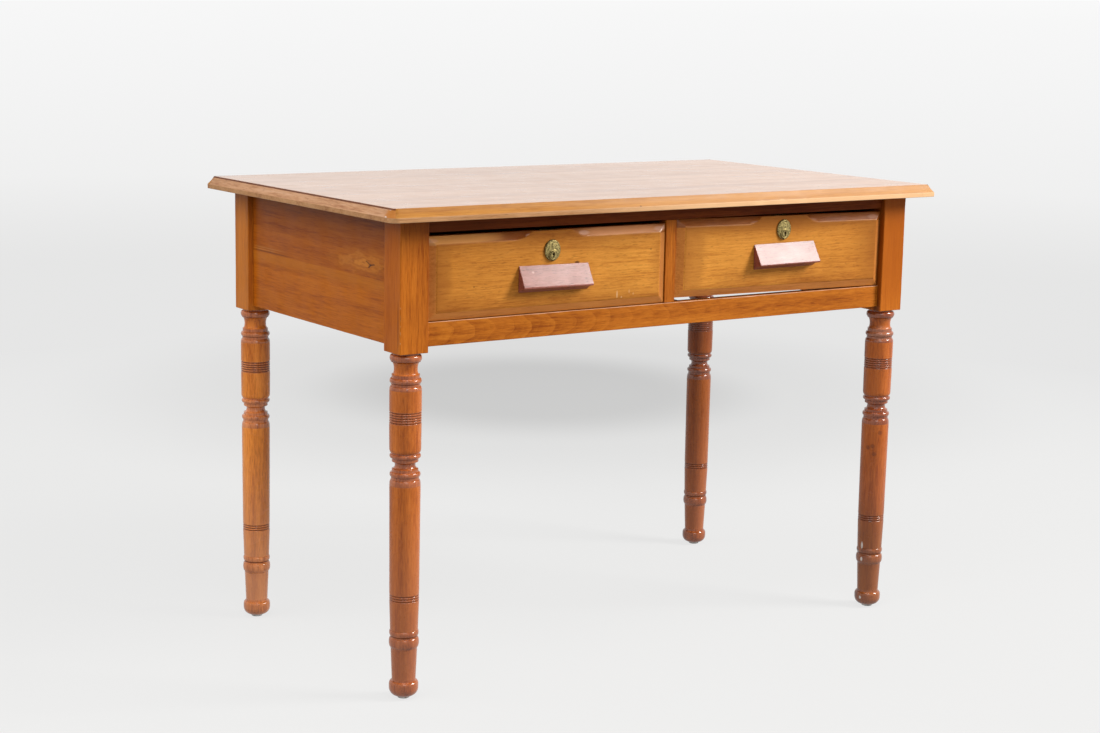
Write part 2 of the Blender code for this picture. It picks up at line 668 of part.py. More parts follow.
def support_outline(front, low_x, high_x, notched):
    """A runner or kicker in plan; where it is notched, it also fills the space beside the posts."""
    front += SEAT_GAP
    back = BACK_APRON_INNER - SEAT_GAP
    if not notched:
        return [(low_x, front), (high_x, front), (high_x, back), (low_x, back)]
    beside_post = POST_INNER_Y - SEAT_GAP
    wall = SIDE_APRON_INNER - SEAT_GAP
    low_x = POST_INNER_X - RUNNER_LEDGE
    post_x = POST_INNER_X - SEAT_GAP
    return [(low_x, front), (post_x, front), (post_x, -beside_post), (wall, -beside_post),
            (wall, beside_post), (post_x, beside_post), (post_x, back), (low_x, back)]


def make_supports():
    """Runners that carry the drawers, guides beside them, and kickers over them."""
    stubs = support_joints()
    half = CENTRE_LEDGE + DIVIDER_WIDTH / 2
    levels = (("runner", RAIL_TOP - RUNNER_HEIGHT, RAIL_TOP, RAIL_BACK),
              ("kicker", UPPER_RAIL_BOTTOM, FRAME_TOP, UPPER_RAIL_BACK))
    for level, bottom, top, front in levels:
        prefix = "drawer_runner" if level == "runner" else "kicker"
        for name, side in (("left", -1), ("centre", 0), ("right", 1)):
            points = support_outline(front, -half, half, side != 0)
            if side:
                points = [(side * across, along) for across, along in points]
            piece = outline(f"{prefix}_{name}", points, top - bottom, "Inner wood",
                            location=(0, 0, (top + bottom) / 2))
            join(piece, blocks(piece.name + " tenons", list(stubs[level, name])))
    reach = POST_INNER_Y - SEAT_GAP
    floor = RAIL_TOP + SEAT_GAP
    for name, side in (("left", -1), ("right", 1)):
        faces = sorted((side * POST_INNER_X, side * (SIDE_APRON_INNER - SEAT_GAP)))
        block(f"drawer_guide_{name}", (faces[0], -reach, floor), (faces[1], reach, floor + GUIDE_HEIGHT), "Inner wood")
    block("drawer_guide_centre", (-DIVIDER_WIDTH / 2, RAIL_BACK + SEAT_GAP, floor),
          (DIVIDER_WIDTH / 2, BACK_APRON_INNER - SEAT_GAP, floor + GUIDE_HEIGHT), "Inner wood")
    make_packing(floor)


def make_packing(floor):
    """The strip on the centre runner that holds the right drawer's inner side up."""
    location, rotation = drawer_place("right")
    roll = Matrix.Rotation(rotation[1], 3, "Y")
    lowest = Vector(location) + roll @ Vector((-SIDE_INNER, 0.0, SIDE_BOTTOM))
    start = RAIL_BACK + PACKING_FROM_RAIL
    low_x = DIVIDER_WIDTH / 2 + DRAWER_SIDE_GAP
    block("runner_packing", (low_x, start, floor),
          (low_x + PACKING_WIDTH, start + PACKING_LENGTH, lowest.z - SEAT_GAP), "Inner wood")


def make_stops():
    """A stop behind each drawer, and the glue blocks between the back apron and the top."""
    face = BACK_APRON_INNER - SEAT_GAP
    middle_z = (RAIL_TOP + UPPER_RAIL_BOTTOM) / 2
    for name, side in (("left", -1), ("right", 1)):
        middle_x = side * DRAWER_MIDDLE_X
        block(f"drawer_stop_{name}",
              (middle_x - STOP_WIDTH / 2, face - STOP_DEPTH, middle_z - STOP_HEIGHT / 2),
              (middle_x + STOP_WIDTH / 2, face, middle_z + STOP_HEIGHT / 2), "Inner wood")
        corner = [(face, FRAME_TOP), (face - GLUE_BLOCK_LEG, FRAME_TOP), (face, FRAME_TOP - GLUE_BLOCK_LEG)]
        outline(f"glue_block_{name}", corner, GLUE_BLOCK_LENGTH, "Inner wood",
                location=(side * GLUE_BLOCK_FROM_MIDDLE, 0, 0), rotation=SIDE_VIEW)


def drawer_roll(side):
    """How far a drawer is turned out of level about Y."""
    return math.asin(DRAWERS[side]["lift"] / FRONT_WIDTH)


def drawer_place(side):
    """Where the bottom middle of a drawer's front stands, and how it is turned."""
    roll = drawer_roll(side)
    middle = -DRAWER_MIDDLE_X if side == "left" else DRAWER_MIDDLE_X
    height = RAIL_TOP + DRAWER_BOTTOM_GAP + DRAWERS[side]["lift"] / 2
    return (middle - math.sin(roll) * FRONT_HEIGHT / 2, FIELD_Y, height), (0.0, roll, 0.0)


def tails(gap, length, shoulder_y):
    """The front end of a drawer side: its tails, from the lowest to the highest, as (y, z) points."""
    points = []
    pitch = (SIDE_TOP - SIDE_BOTTOM) / DRAWER_TAILS
    for count in range(DRAWER_TAILS):
        middle = SIDE_BOTTOM + pitch * (count + 0.5)
        root = pitch * TAIL_SHARE / 2 + gap
        tip = root + TAIL_FLARE
        points += [(shoulder_y, middle - root), (FRONT_THICKNESS - length, middle - tip),
                   (FRONT_THICKNESS - length, middle + tip), (shoulder_y, middle + root)]
    return points


def wedge(name, run, depth, length, parent, location, rotation):
    """A cutter for a straight chamfer, whose slope runs from (run, 0) to (0, depth) in its own plane."""
    slope = Vector((-run, depth)).normalized() * OVERCUT
    start = Vector((run, 0.0)) - slope
    end = Vector((0.0, depth)) + slope
    return outline(name, [tuple(start), tuple(end), (end.x, start.y)], length + 2 * OVERCUT,
                   parent=parent, location=location, rotation=rotation)


def stopped_chamfer(name, side, flat, parent):
    """A cutter for the top chamfer on one side of the lock, which sweeps up to the edge in a round run-out."""
    slope_length = math.hypot(CHAMFER_WIDTH, CHAMFER_DEPTH)
    rise = slope_length + RUNOUT_DIP
    radius = (RUNOUT_LENGTH ** 2 + rise ** 2) / (2 * rise)
    end_turn = math.acos(1 - (rise + CHAMFER_DEPTH / 2) / radius)
    outer = FRONT_WIDTH / 2 + OVERCUT
    start = flat / 2 + RUNOUT_LENGTH
    points = [(outer, -OVERCUT), (start, -OVERCUT)]
    for step in range(RUNOUT_STEPS + 1):
        turn = end_turn * step / RUNOUT_STEPS
        points.append((start - radius * math.sin(turn), radius * (1 - math.cos(turn)) - RUNOUT_DIP))
    points += [(points[-1][0], slope_length + OVERCUT), (outer, slope_length + OVERCUT)]
    points = [(side * across, along) for across, along in points]
    tilt = math.atan2(CHAMFER_WIDTH, CHAMFER_DEPTH)
    lift = FRONT_THICKNESS / 2
    location = (0.0, -math.sin(tilt) * lift, FRONT_HEIGHT - CHAMFER_WIDTH + math.cos(tilt) * lift)
    return outline(name, points, FRONT_THICKNESS, parent=parent, location=location, rotation=(tilt, 0.0, 0.0))


def lock_oval(side, inset):
    """The lock face's oval outline on a drawer front, drawn in by an inset."""
    middle_x = DRAWERS[side]["lock_shift"]
    middle_z = plug_height(side) + PLUG_BELOW_FACE_MIDDLE
    half_width = LOCK_FACE_WIDTH / 2 - inset
    half_height = LOCK_FACE_HEIGHT / 2 - inset
    turns = [2 * math.pi * step / LOCK_FACE_POINTS for step in range(LOCK_FACE_POINTS)]
    return [(middle_x + half_width * math.cos(turn), middle_z + half_height * math.sin(turn)) for turn in turns]


def make_front(side, parent):
    """The drawer front: chamfered round its field, socketed for the sides, grooved and cut for the lock."""
    sizes = DRAWERS[side]
    name = f"{side}_drawer_front"
    half = FRONT_WIDTH / 2
    front = block(name, (-half, 0.0, 0.0), (half, FRONT_THICKNESS, FRONT_HEIGHT), "Drawer front wood", parent)
    middle_z = FRONT_HEIGHT / 2
    cut(front, wedge(name + " left chamfer", CHAMFER_END_WIDTH, CHAMFER_DEPTH, FRONT_HEIGHT, parent,
                     (-half, 0.0, middle_z), (0.0, 0.0, 0.0)))
    cut(front, wedge(name + " right chamfer", CHAMFER_END_WIDTH, CHAMFER_DEPTH, FRONT_HEIGHT, parent,
                     (half, 0.0, middle_z), (0.0, math.pi, 0.0)))
    cut(front, wedge(name + " bottom chamfer", CHAMFER_WIDTH, CHAMFER_DEPTH, FRONT_WIDTH, parent,
                     (0.0, 0.0, 0.0), (0.0, -math.pi / 2, 0.0)))
    for sign, end in ((-1, "left"), (1, "right")):
        cut(front, stopped_chamfer(f"{name} top {end} chamfer", sign, sizes["flat"], parent))
    inside = FRONT_THICKNESS + OVERCUT
    for sign, end in ((-1, "left"), (1, "right")):
        span = SIDE_THICKNESS + SEAT_GAP + OVERCUT
        sockets = tails(SEAT_GAP, TAIL_LENGTH + SEAT_GAP, inside)
        sockets += [(inside + OVERCUT, SIDE_TOP), (inside + OVERCUT, SIDE_BOTTOM)]
        cut(front, outline(f"{name} {end} sockets", sockets, span, parent=parent, rotation=SIDE_VIEW,
                           location=(sign * (SIDE_INNER - SEAT_GAP + span / 2), 0.0, 0.0)))
    reach = SIDE_INNER + GROOVE_DEPTH
    cut(front, block(name + " groove", (-reach, FRONT_THICKNESS - GROOVE_DEPTH, PANEL_BOTTOM - SEAT_GAP),
                     (reach, inside, PANEL_TOP + SEAT_GAP), parent=parent))
    hole = lock_oval(side, LOCK_BODY_STEP - SEAT_GAP)
    cut(front, outline(name + " lock hole", hole, 2 * FRONT_THICKNESS, parent=parent, rotation=FRONT_VIEW))
    wide = CASE_HALF_WIDTH + SEAT_GAP
    recess_bottom = plug_height(side) - CASE_BELOW_PLUG - SEAT_GAP
    cut(front, block(name + " lock recess", (sizes["lock_shift"] - wide, CASE_FRONT - SEAT_GAP, recess_bottom),
                     (sizes["lock_shift"] + wide, inside, FRONT_HEIGHT + OVERCUT), parent=parent))


def make_drawer_box(side, parent):
    """The sides, dovetailed into the front, with the back housed and the bottom grooved into them."""
    shoulder_y = FRONT_THICKNESS + SEAT_GAP
    board = tails(0.0, TAIL_LENGTH, shoulder_y)
    board = [(shoulder_y, SIDE_BOTTOM)] + board + [(shoulder_y, SIDE_TOP), (DRAWER_LENGTH, SIDE_TOP),
                                                   (DRAWER_LENGTH, SIDE_BOTTOM)]
    back_end = DRAWER_LENGTH - BACK_FROM_END
    back_start = back_end - BACK_THICKNESS
    back_bottom = PANEL_TOP + 2 * SEAT_GAP
    back_top = SIDE_TOP - BACK_TOP_DROP
    for sign, end in ((-1, "left"), (1, "right")):
        name = f"{side}_drawer_{end}_side"
        piece = outline(name, board, SIDE_THICKNESS, "Inner wood", parent,
                        (sign * (FRONT_WIDTH / 2 - SIDE_THICKNESS / 2), 0.0, 0.0), SIDE_VIEW)
        faces = sorted((sign * (SIDE_INNER - OVERCUT), sign * (SIDE_INNER + GROOVE_DEPTH)))
        cut(piece, block(name + " groove", (faces[0], FRONT_THICKNESS - GROOVE_DEPTH, PANEL_BOTTOM - SEAT_GAP),
                         (faces[1], DRAWER_LENGTH + OVERCUT, PANEL_TOP + SEAT_GAP), parent=parent))
        cut(piece, block(name + " housing", (faces[0], back_start - SEAT_GAP, PANEL_BOTTOM),
                         (faces[1], back_end + SEAT_GAP, SIDE_TOP + OVERCUT), parent=parent))
    reach = SIDE_INNER + GROOVE_DEPTH - SEAT_GAP
    block(f"{side}_drawer_back", (-reach, back_start, back_bottom), (reach, back_end, back_top), "Inner wood", parent)
    block(f"{side}_drawer_bottom", (-reach, FRONT_THICKNESS - GROOVE_DEPTH + SEAT_GAP, PANEL_BOTTOM),
          (reach, DRAWER_LENGTH, PANEL_TOP), "Inner wood", parent)


def make_pull(side, parent):
    """A wedge-shaped pull: a long slope down to a lip, and a hollow under the lip for the fingers."""
    sizes = DRAWERS[side]
    slope = sizes["pull_slope"]
    reach = sizes["pull_projection"]
    foot = slope + PULL_LIP + PULL_BELOW_LIP
    under = [(-reach, -slope - PULL_LIP)]
    for step in range(1, PULL_HOLLOW_STEPS):
        share = step / PULL_HOLLOW_STEPS
        rise = PULL_HOLLOW * math.sin(math.pi * share)
        under.append((-reach * (1 - share), -slope - PULL_LIP - PULL_BELOW_LIP * share + rise))
    points = [(-SEAT_GAP, 0.0), (-reach, -slope)] + under + [(-SEAT_GAP, -foot)]
    skew = Matrix.Rotation(sizes["pull_skew"], 3, "Y") @ Euler(SIDE_VIEW).to_matrix()
    pull = outline(f"{side}_drawer_pull", points, PULL_WIDTH, "Pull wood", parent,
                   (sizes["pull_shift"], 0.0, FRONT_HEIGHT - sizes["pull_drop"]), skew.to_euler())
    easing = pull.modifiers.new("Easing", "BEVEL")
    easing.width = PULL_EASING
    easing.segments = 1
    easing.limit_method = "ANGLE"
    easing.angle_limit = math.radians(40)


def plug_height(side):
    """The height of the lock plug's axis above the drawer front's bottom edge."""
    return FRONT_HEIGHT - DRAWERS[side]["lock_drop"] - PLUG_BELOW_FACE_MIDDLE


def make_lock(side, parent):
    """Cylinder with an oval face, case let in behind it, plug with its crank, and the bolt that it lifts."""
    plug_x = DRAWERS[side]["lock_shift"]
    plug_z = plug_height(side)
    pin_z = plug_z - CRANK_THROW
    name = f"{side}_lock"
    thickness = LOCK_FACE_PROUD - SEAT_GAP
    cylinder = outline(name + "_cylinder", lock_oval(side, 0.0), thickness, "Brass", parent,
                       (0.0, -SEAT_GAP - thickness / 2, 0.0), FRONT_VIEW)
    body_length = CASE_FRONT - SEAT_GAP + LOCK_FACE_PROUD / 2
    join(cylinder, outline(name + " body", lock_oval(side, LOCK_BODY_STEP), body_length, parent=parent,
                           location=(0.0, CASE_FRONT - SEAT_GAP - body_length / 2, 0.0), rotation=FRONT_VIEW))
    bezel_front = LOCK_FACE_PROUD + LOCK_BEZEL_PROUD
    bezel_edge = LOCK_BEZEL_PROUD / 2
    bezel_root = LOCK_FACE_PROUD - LOCK_BEZEL_PROUD
    bezel = [(0.0, bezel_front), (LOCK_BEZEL_RADIUS - bezel_edge, bezel_front),
             (LOCK_BEZEL_RADIUS, bezel_front - bezel_edge), (LOCK_BEZEL_RADIUS, bezel_root), (0.0, bezel_root)]
    axis = (plug_x, 0.0, plug_z)
    join(cylinder, turned(name + " bezel", bezel, PLUG_SIDES, None, parent, axis, FRONT_VIEW))
    bore_radius = (PLUG_RADIUS + PLUG_RUN_GAP) / math.cos(math.pi / PLUG_SIDES)
    bore = [(0.0, OVERCUT), (bore_radius, OVERCUT), (bore_radius, -FRONT_THICKNESS), (0.0, -FRONT_THICKNESS)]
    cut(cylinder, turned(name + " bore", bore, PLUG_SIDES, None, parent, axis, FRONT_VIEW))

    disc_back = DISC_FRONT + CRANK_DISC_THICKNESS
    plug_front = bezel_front + PLUG_PROUD
    profile = [(0.0, plug_front), (PLUG_RADIUS - PLUG_PROUD, plug_front), (PLUG_RADIUS, plug_front - PLUG_PROUD),
               (PLUG_RADIUS, -DISC_FRONT), (CRANK_DISC_RADIUS, -DISC_FRONT), (CRANK_DISC_RADIUS, -disc_back),
               (0.0, -disc_back)]
    plug = turned(name + "_plug", profile, PLUG_SIDES, "Brass", parent, axis, FRONT_VIEW)
    pin_root = CRANK_DISC_THICKNESS / 2
    pin = [(0.0, pin_root), (CRANK_PIN_RADIUS, pin_root), (CRANK_PIN_RADIUS, -CRANK_PIN_LENGTH),
           (0.0, -CRANK_PIN_LENGTH)]
    join(plug, turned(name + " crank pin", pin, PLUG_SIDES // 2, None, parent, (plug_x, disc_back, pin_z), FRONT_VIEW))
    half_key = KEYWAY_WIDTH / 2
    cut(plug, block(name + " keyway", (plug_x - half_key, -plug_front - OVERCUT, plug_z - KEYWAY_HEIGHT / 2),
                    (plug_x + half_key, -plug_front + KEYWAY_DEPTH, plug_z + KEYWAY_HEIGHT / 2), parent=parent))

    case_bottom = plug_z - CASE_BELOW_PLUG
    case_top = FRONT_HEIGHT - SEAT_GAP
    case = block(name + "_case", (plug_x - CASE_HALF_WIDTH, CASE_FRONT, case_bottom),
                 (plug_x + CASE_HALF_WIDTH, FRONT_THICKNESS, case_top), "Brass", parent)
    inner = CASE_HALF_WIDTH - CASE_SKIN
    cut(case, block(name + " case space", (plug_x - inner, CASE_FRONT - OVERCUT, case_bottom + CASE_SKIN),
                    (plug_x + inner, FRONT_THICKNESS - CASE_SKIN, case_top - CASE_SKIN), parent=parent))
    slot = BOLT_HALF_WIDTH + SEAT_GAP
    bolt_back = BOLT_FRONT + BOLT_THICKNESS
    cut(case, block(name + " case slot", (plug_x - slot, BOLT_FRONT - SEAT_GAP, case_top - OVERCUT),
                    (plug_x + slot, bolt_back + SEAT_GAP, case_top + OVERCUT), parent=parent))

    bolt = block(name + "_bolt", (plug_x - BOLT_HALF_WIDTH, BOLT_FRONT, pin_z - BOLT_BELOW_PIN),
                 (plug_x + BOLT_HALF_WIDTH, bolt_back, FRONT_HEIGHT - BOLT_BELOW_EDGE), "Brass", parent)
    play = CRANK_PIN_RADIUS + CRANK_PIN_PLAY
    wide = CRANK_THROW + play
    cut(bolt, block(name + " pin slot", (plug_x - wide, BOLT_FRONT - OVERCUT, pin_z - play),
                    (plug_x + wide, BOLT_FRONT + OVERCUT, pin_z + play), parent=parent))


def make_drawers():
    """Both drawers, each on its own empty, which slides along Y."""
    for side in DRAWERS:
        location, rotation = drawer_place(side)
        holder = empty(f"{side}_drawer", location, rotation)
        make_front(side, holder)
        make_drawer_box(side, holder)
        make_pull(side, holder)
        make_lock(side, holder)


make_top()
make_legs()
make_aprons()
make_rails()
make_supports()
make_stops()
make_drawers()
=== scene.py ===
"""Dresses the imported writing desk: polished and worn wood, turned legs, brass locks, a pale studio round it.

Metres, +Z up, front towards -Y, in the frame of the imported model.
"""
import math

import bmesh
import bpy
from mathutils import Matrix, Vector, noise


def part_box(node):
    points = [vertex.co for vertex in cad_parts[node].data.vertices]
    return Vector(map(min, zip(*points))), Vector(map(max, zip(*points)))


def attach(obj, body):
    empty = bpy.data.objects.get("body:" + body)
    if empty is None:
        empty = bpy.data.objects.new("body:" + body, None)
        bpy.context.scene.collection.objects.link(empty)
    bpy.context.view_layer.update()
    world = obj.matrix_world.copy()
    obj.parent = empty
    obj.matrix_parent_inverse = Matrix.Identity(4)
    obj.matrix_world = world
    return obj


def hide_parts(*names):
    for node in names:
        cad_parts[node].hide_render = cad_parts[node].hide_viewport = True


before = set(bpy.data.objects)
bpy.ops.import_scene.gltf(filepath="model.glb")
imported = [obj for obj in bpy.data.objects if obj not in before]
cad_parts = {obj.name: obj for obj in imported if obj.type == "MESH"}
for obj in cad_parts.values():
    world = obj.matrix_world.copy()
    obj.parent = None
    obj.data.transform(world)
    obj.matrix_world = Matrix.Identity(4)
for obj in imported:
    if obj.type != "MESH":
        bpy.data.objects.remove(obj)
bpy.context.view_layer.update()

X, Y, Z = 0, 1, 2

# Camera, fitted to the photograph
PHOTO_WIDTH = 1100
FOCAL_PIXELS = 2062.87
SENSOR_WIDTH = 36.0
CAMERA_PLACE = Vector((-2.00338, -2.83629, 1.04136))
CAMERA_YAW = 0.6039
CAMERA_PITCH = 0.1741
CAMERA_ROLL = 0.0194

# Studio
FLOOR_RADIUS = 5.0
SWEEP_RADIUS = 2.5
WALL_HEIGHT = 5.0
STUDIO_SIDES = 96
SWEEP_STEPS = 12
FLOOR_COLOUR = (0.32, 0.32, 0.318, 1.0)
NEAR_FLOOR = 1.5
FAR_FLOOR = 3.0
EVEN_SHARE = 0.75
# The paper's own brightness, where it shows evenly: near the desk, and further off by height
NEAR_PAPER = (1.0, 1.0, 0.995, 1.0)
PAPER = ((0.0, (0.79, 0.79, 0.788)), (0.25, (0.87, 0.87, 0.868)), (0.6, (0.90, 0.90, 0.90)),
         (1.0, (0.93, 0.93, 0.93)), (1.4, (1.0, 1.0, 1.0)))
PAPER_MOTTLE = 0.985
# Painted shadows on the paper, where the desk keeps the front light off it: centre, radii and share of the
# light
PAINTED_DESK_SHADOW = (((1.11, 1.75, 0.0), (0.55, 0.55, 1.0), 0.20),
               ((1.13, 1.74, 0.0), (1.10, 1.10, 1.0), 0.10))
WORLD_COLOUR = (0.97, 0.98, 1.0, 1.0)
WORLD_STRENGTH = 0.22
# The polished top would mirror this light as a white sheet
HIDDEN_FROM_GLOSS = ("left_light",)
# Each light: place, the point it faces, width, height, watts, colour
LIGHTS = {
    "key_light": ((3.19, -2.65, 3.03), (0.10, -0.25, 0.62), 1.66, 1.66, 285.0, (1.0, 0.98, 0.95)),
    "front_light": ((-1.60, -3.60, 2.20), (0.0, 0.0, 0.5), 1.6, 1.6, 22.0, (1.0, 0.99, 0.97)),
    "left_light": ((-2.30, 0.10, 1.90), (-0.2, 0.0, 0.4), 2.6, 2.2, 40.0, (1.0, 0.99, 0.97)),
    "overhead_light": ((-0.5, -0.95, 3.0), (-0.4, -0.5, 0.0), 2.0, 0.9, 28.0, (1.0, 0.99, 0.98)),
}

# Sizes shared with the solids
DESK_HEIGHT = 0.7495
FRAME_WIDTH = 1.000
FRAME_DEPTH = 0.543
SEAT_GAP = 0.0003
TOP_THICKNESS = 0.0205
TOP_OVERHANG = 0.0335
TOP_WORN_CORNER = 0.014
TOP_BAND = 0.0075
TOP_QUIRK = 0.0009
TOP_SLOPE_INSET = 0.0076
TOP_SLOPE_HOLLOW = 0.0008
POST_SIDE = 0.0482
POST_LENGTH = 0.1973
UNDERSIDE = DESK_HEIGHT - TOP_THICKNESS
POST_BOTTOM = UNDERSIDE - POST_LENGTH
POST_INNER_X = FRAME_WIDTH / 2 - POST_SIDE
POST_INNER_Y = FRAME_DEPTH / 2 - POST_SIDE
LEG_X = FRAME_WIDTH / 2 - POST_SIDE / 2
LEG_Y = FRAME_DEPTH / 2 - POST_SIDE / 2

# Turned leg. Upper forms are drops below the post, lower forms are rises above the floor.
LEG_SIDES = 56
ARC_STEPS = 9
RING_RADIUS = 0.0241
CAP_BEAD = (0.0027, 0.0137, 0.0205, RING_RADIUS)
UPPER_COVE = (0.0137, 0.0330, 0.0221, 0.0203, 0.0177)
UPPER_FILLET = (0.0330, 0.0380, 0.0210)
UPPER_BEAD = (0.0380, 0.0467, 0.0205, RING_RADIUS)
UPPER_GROOVE = (0.0467, 0.0500, 0.0218)
BARREL_TOP = 0.0502
BARREL_BOTTOM = 0.1507
BARREL_SHOULDER = 0.0060
BARREL_RADIUS = 0.0242
BARREL_FOOT_RADIUS = 0.0238
BARREL_REEDS_DROP = 0.0972
BARREL_REED_GROOVES = 5
REED_PITCH = 0.0038
REED_DEPTH = 0.0008
RAISED_REEDS = {"leg_front_right": 0.0040}
WAIST_BEAD = (0.1525, 0.1590, 0.0212, 0.0235)
WAIST_FILLET = (0.1597, 0.1645, 0.0199)
WAIST_COVE = (0.1650, 0.1750, 0.0188, 0.0188, 0.0154)
WAIST_STEP = (0.1755, 0.1798, 0.0199)
WAIST_RING = (0.1800, 0.1875, 0.0210, 0.0232)
WAIST_GROOVE = (0.1875, 0.1915, 0.0211)
SHAFT_TOP = 0.1917
SHAFT_SHOULDER = 0.0090
SHAFT_RADIUS = 0.0234
SHAFT_REEDS_RISE = 0.1585
SHAFT_REED_GROOVES = 3
SHAFT_REEDS_RADIUS = 0.0225
SHAFT_FOOT_RISE = 0.1075
SHAFT_FOOT_RADIUS = 0.0211
ANKLE_BEAD = (0.1075, 0.0990, 0.0207, 0.0223)
ANKLE_GROOVE_RADIUS = 0.0206
ANKLE_RING = (0.0960, 0.0810, 0.0207, 0.0229)
ANKLE_FILLET_RISE = 0.0785
ANKLE_RADIUS = 0.0201
ANKLE_LOW_RISE = 0.0315
ANKLE_LOW_RADIUS = 0.0181
FOOT_NECK_RISE = 0.0280
FOOT_NECK_RADIUS = 0.0188
FOOT_SHOULDER_RISE = 0.0215
FOOT_CROWN_RISE = 0.0172
FOOT_RADIUS = 0.0225
FOOT_FLAT_RADIUS = 0.0105
GLIDE_HEIGHT = 0.0040
GLIDE_RADIUS = 0.0093
GLIDE_FLAT_RADIUS = 0.0065
GLIDE_EDGE = 0.0012
GLIDE_NAIL_RADIUS = 0.0013
GLIDE_NAIL_LENGTH = 0.012
GLIDE_SIDES = 32
TURNING_WOBBLE = 0.00012
# How far the turning reaches up into its post
TURNING_LAP = 0.004
# Chips in the arrises of the posts: height, corner, depth and length
POST_CHIPS = {"leg_front_left": [(0.587, 0, 0.0016, 0.004), (0.574, 0, 0.0012, 0.003),
                                 (0.561, 0, 0.0016, 0.004)]}

# Boards
BOARD_STEP = 0.006
BOARD_ARC_STEPS = 3
POST_EASING = 0.0014
BOARD_EASING = 0.0010
END_EASING = 0.0005
WEAR_PITCH = 38.0

# Drawers
FIELD_RECESS = 0.003
FRONT_THICKNESS = 0.020
CHAMFER_WIDTH = 0.013
CHAMFER_END_WIDTH = 0.0142
CHAMFER_DEPTH = 0.007
RUNOUT_LENGTH = 0.034
RUNOUT_DIP = 0.0005
FRONT_WIDTH = 0.4388
FRONT_HEIGHT = 0.1255
DRAWER_MIDDLE_X = 0.2309
DRAWER_BOTTOM = 0.5771
FIELD_Y = -FRAME_DEPTH / 2 + FIELD_RECESS
PULL_WIDTH = 0.129
PULL_LIP = 0.0032
PULL_BELOW_LIP = 0.0070
PULL_HOLLOW = 0.0022
PULL_HOLLOW_STEPS = 10
PULL_EASING = 0.0011
LOCK_FACE_WIDTH = 0.0290
LOCK_FACE_HEIGHT = 0.0330
LOCK_FACE_PROUD = 0.0040
LOCK_BODY_STEP = 0.0022
LOCK_BEZEL_RADIUS = 0.0082
LOCK_BEZEL_PROUD = 0.0008
PLUG_BELOW_FACE_MIDDLE = 0.0070
PLUG_RADIUS = 0.0058
PLUG_PROUD = 0.0004
PLUG_RUN_GAP = 0.0003
CASE_FRONT = 0.0085
DISC_FRONT = CASE_FRONT + 0.00075
CRANK_DISC_RADIUS = 0.0085
CRANK_DISC_THICKNESS = 0.0020
CRANK_THROW = 0.0055
CRANK_PIN_RADIUS = 0.0015
CRANK_PIN_LENGTH = 0.0045
DRAWERS = {
    "left": {"lock_drop": 0.0302, "lock_shift": -0.0013, "pull_drop": 0.0514, "pull_shift": 0.0024,
             "pull_slope": 0.0312, "pull_projection": 0.0170, "pull_skew": math.radians(0.5),
             "flat": 0.074, "lift": 0.0},
    "right": {"lock_drop": 0.0222, "lock_shift": -0.0022, "pull_drop": 0.0436, "pull_shift": 0.0004,
              "pull_slope": 0.0318, "pull_projection": 0.0190, "pull_skew": math.radians(-1.1),
              "flat": 0.094, "lift": 0.0058},
}

LOOKS = bpy.data.collections.new("Looks")
bpy.context.scene.collection.children.link(LOOKS)


# Materials

# Where a soft spot starts to fade and where it ends, in shares of its radii
SPOT_START = 0.6
SPOT_END = 1.3


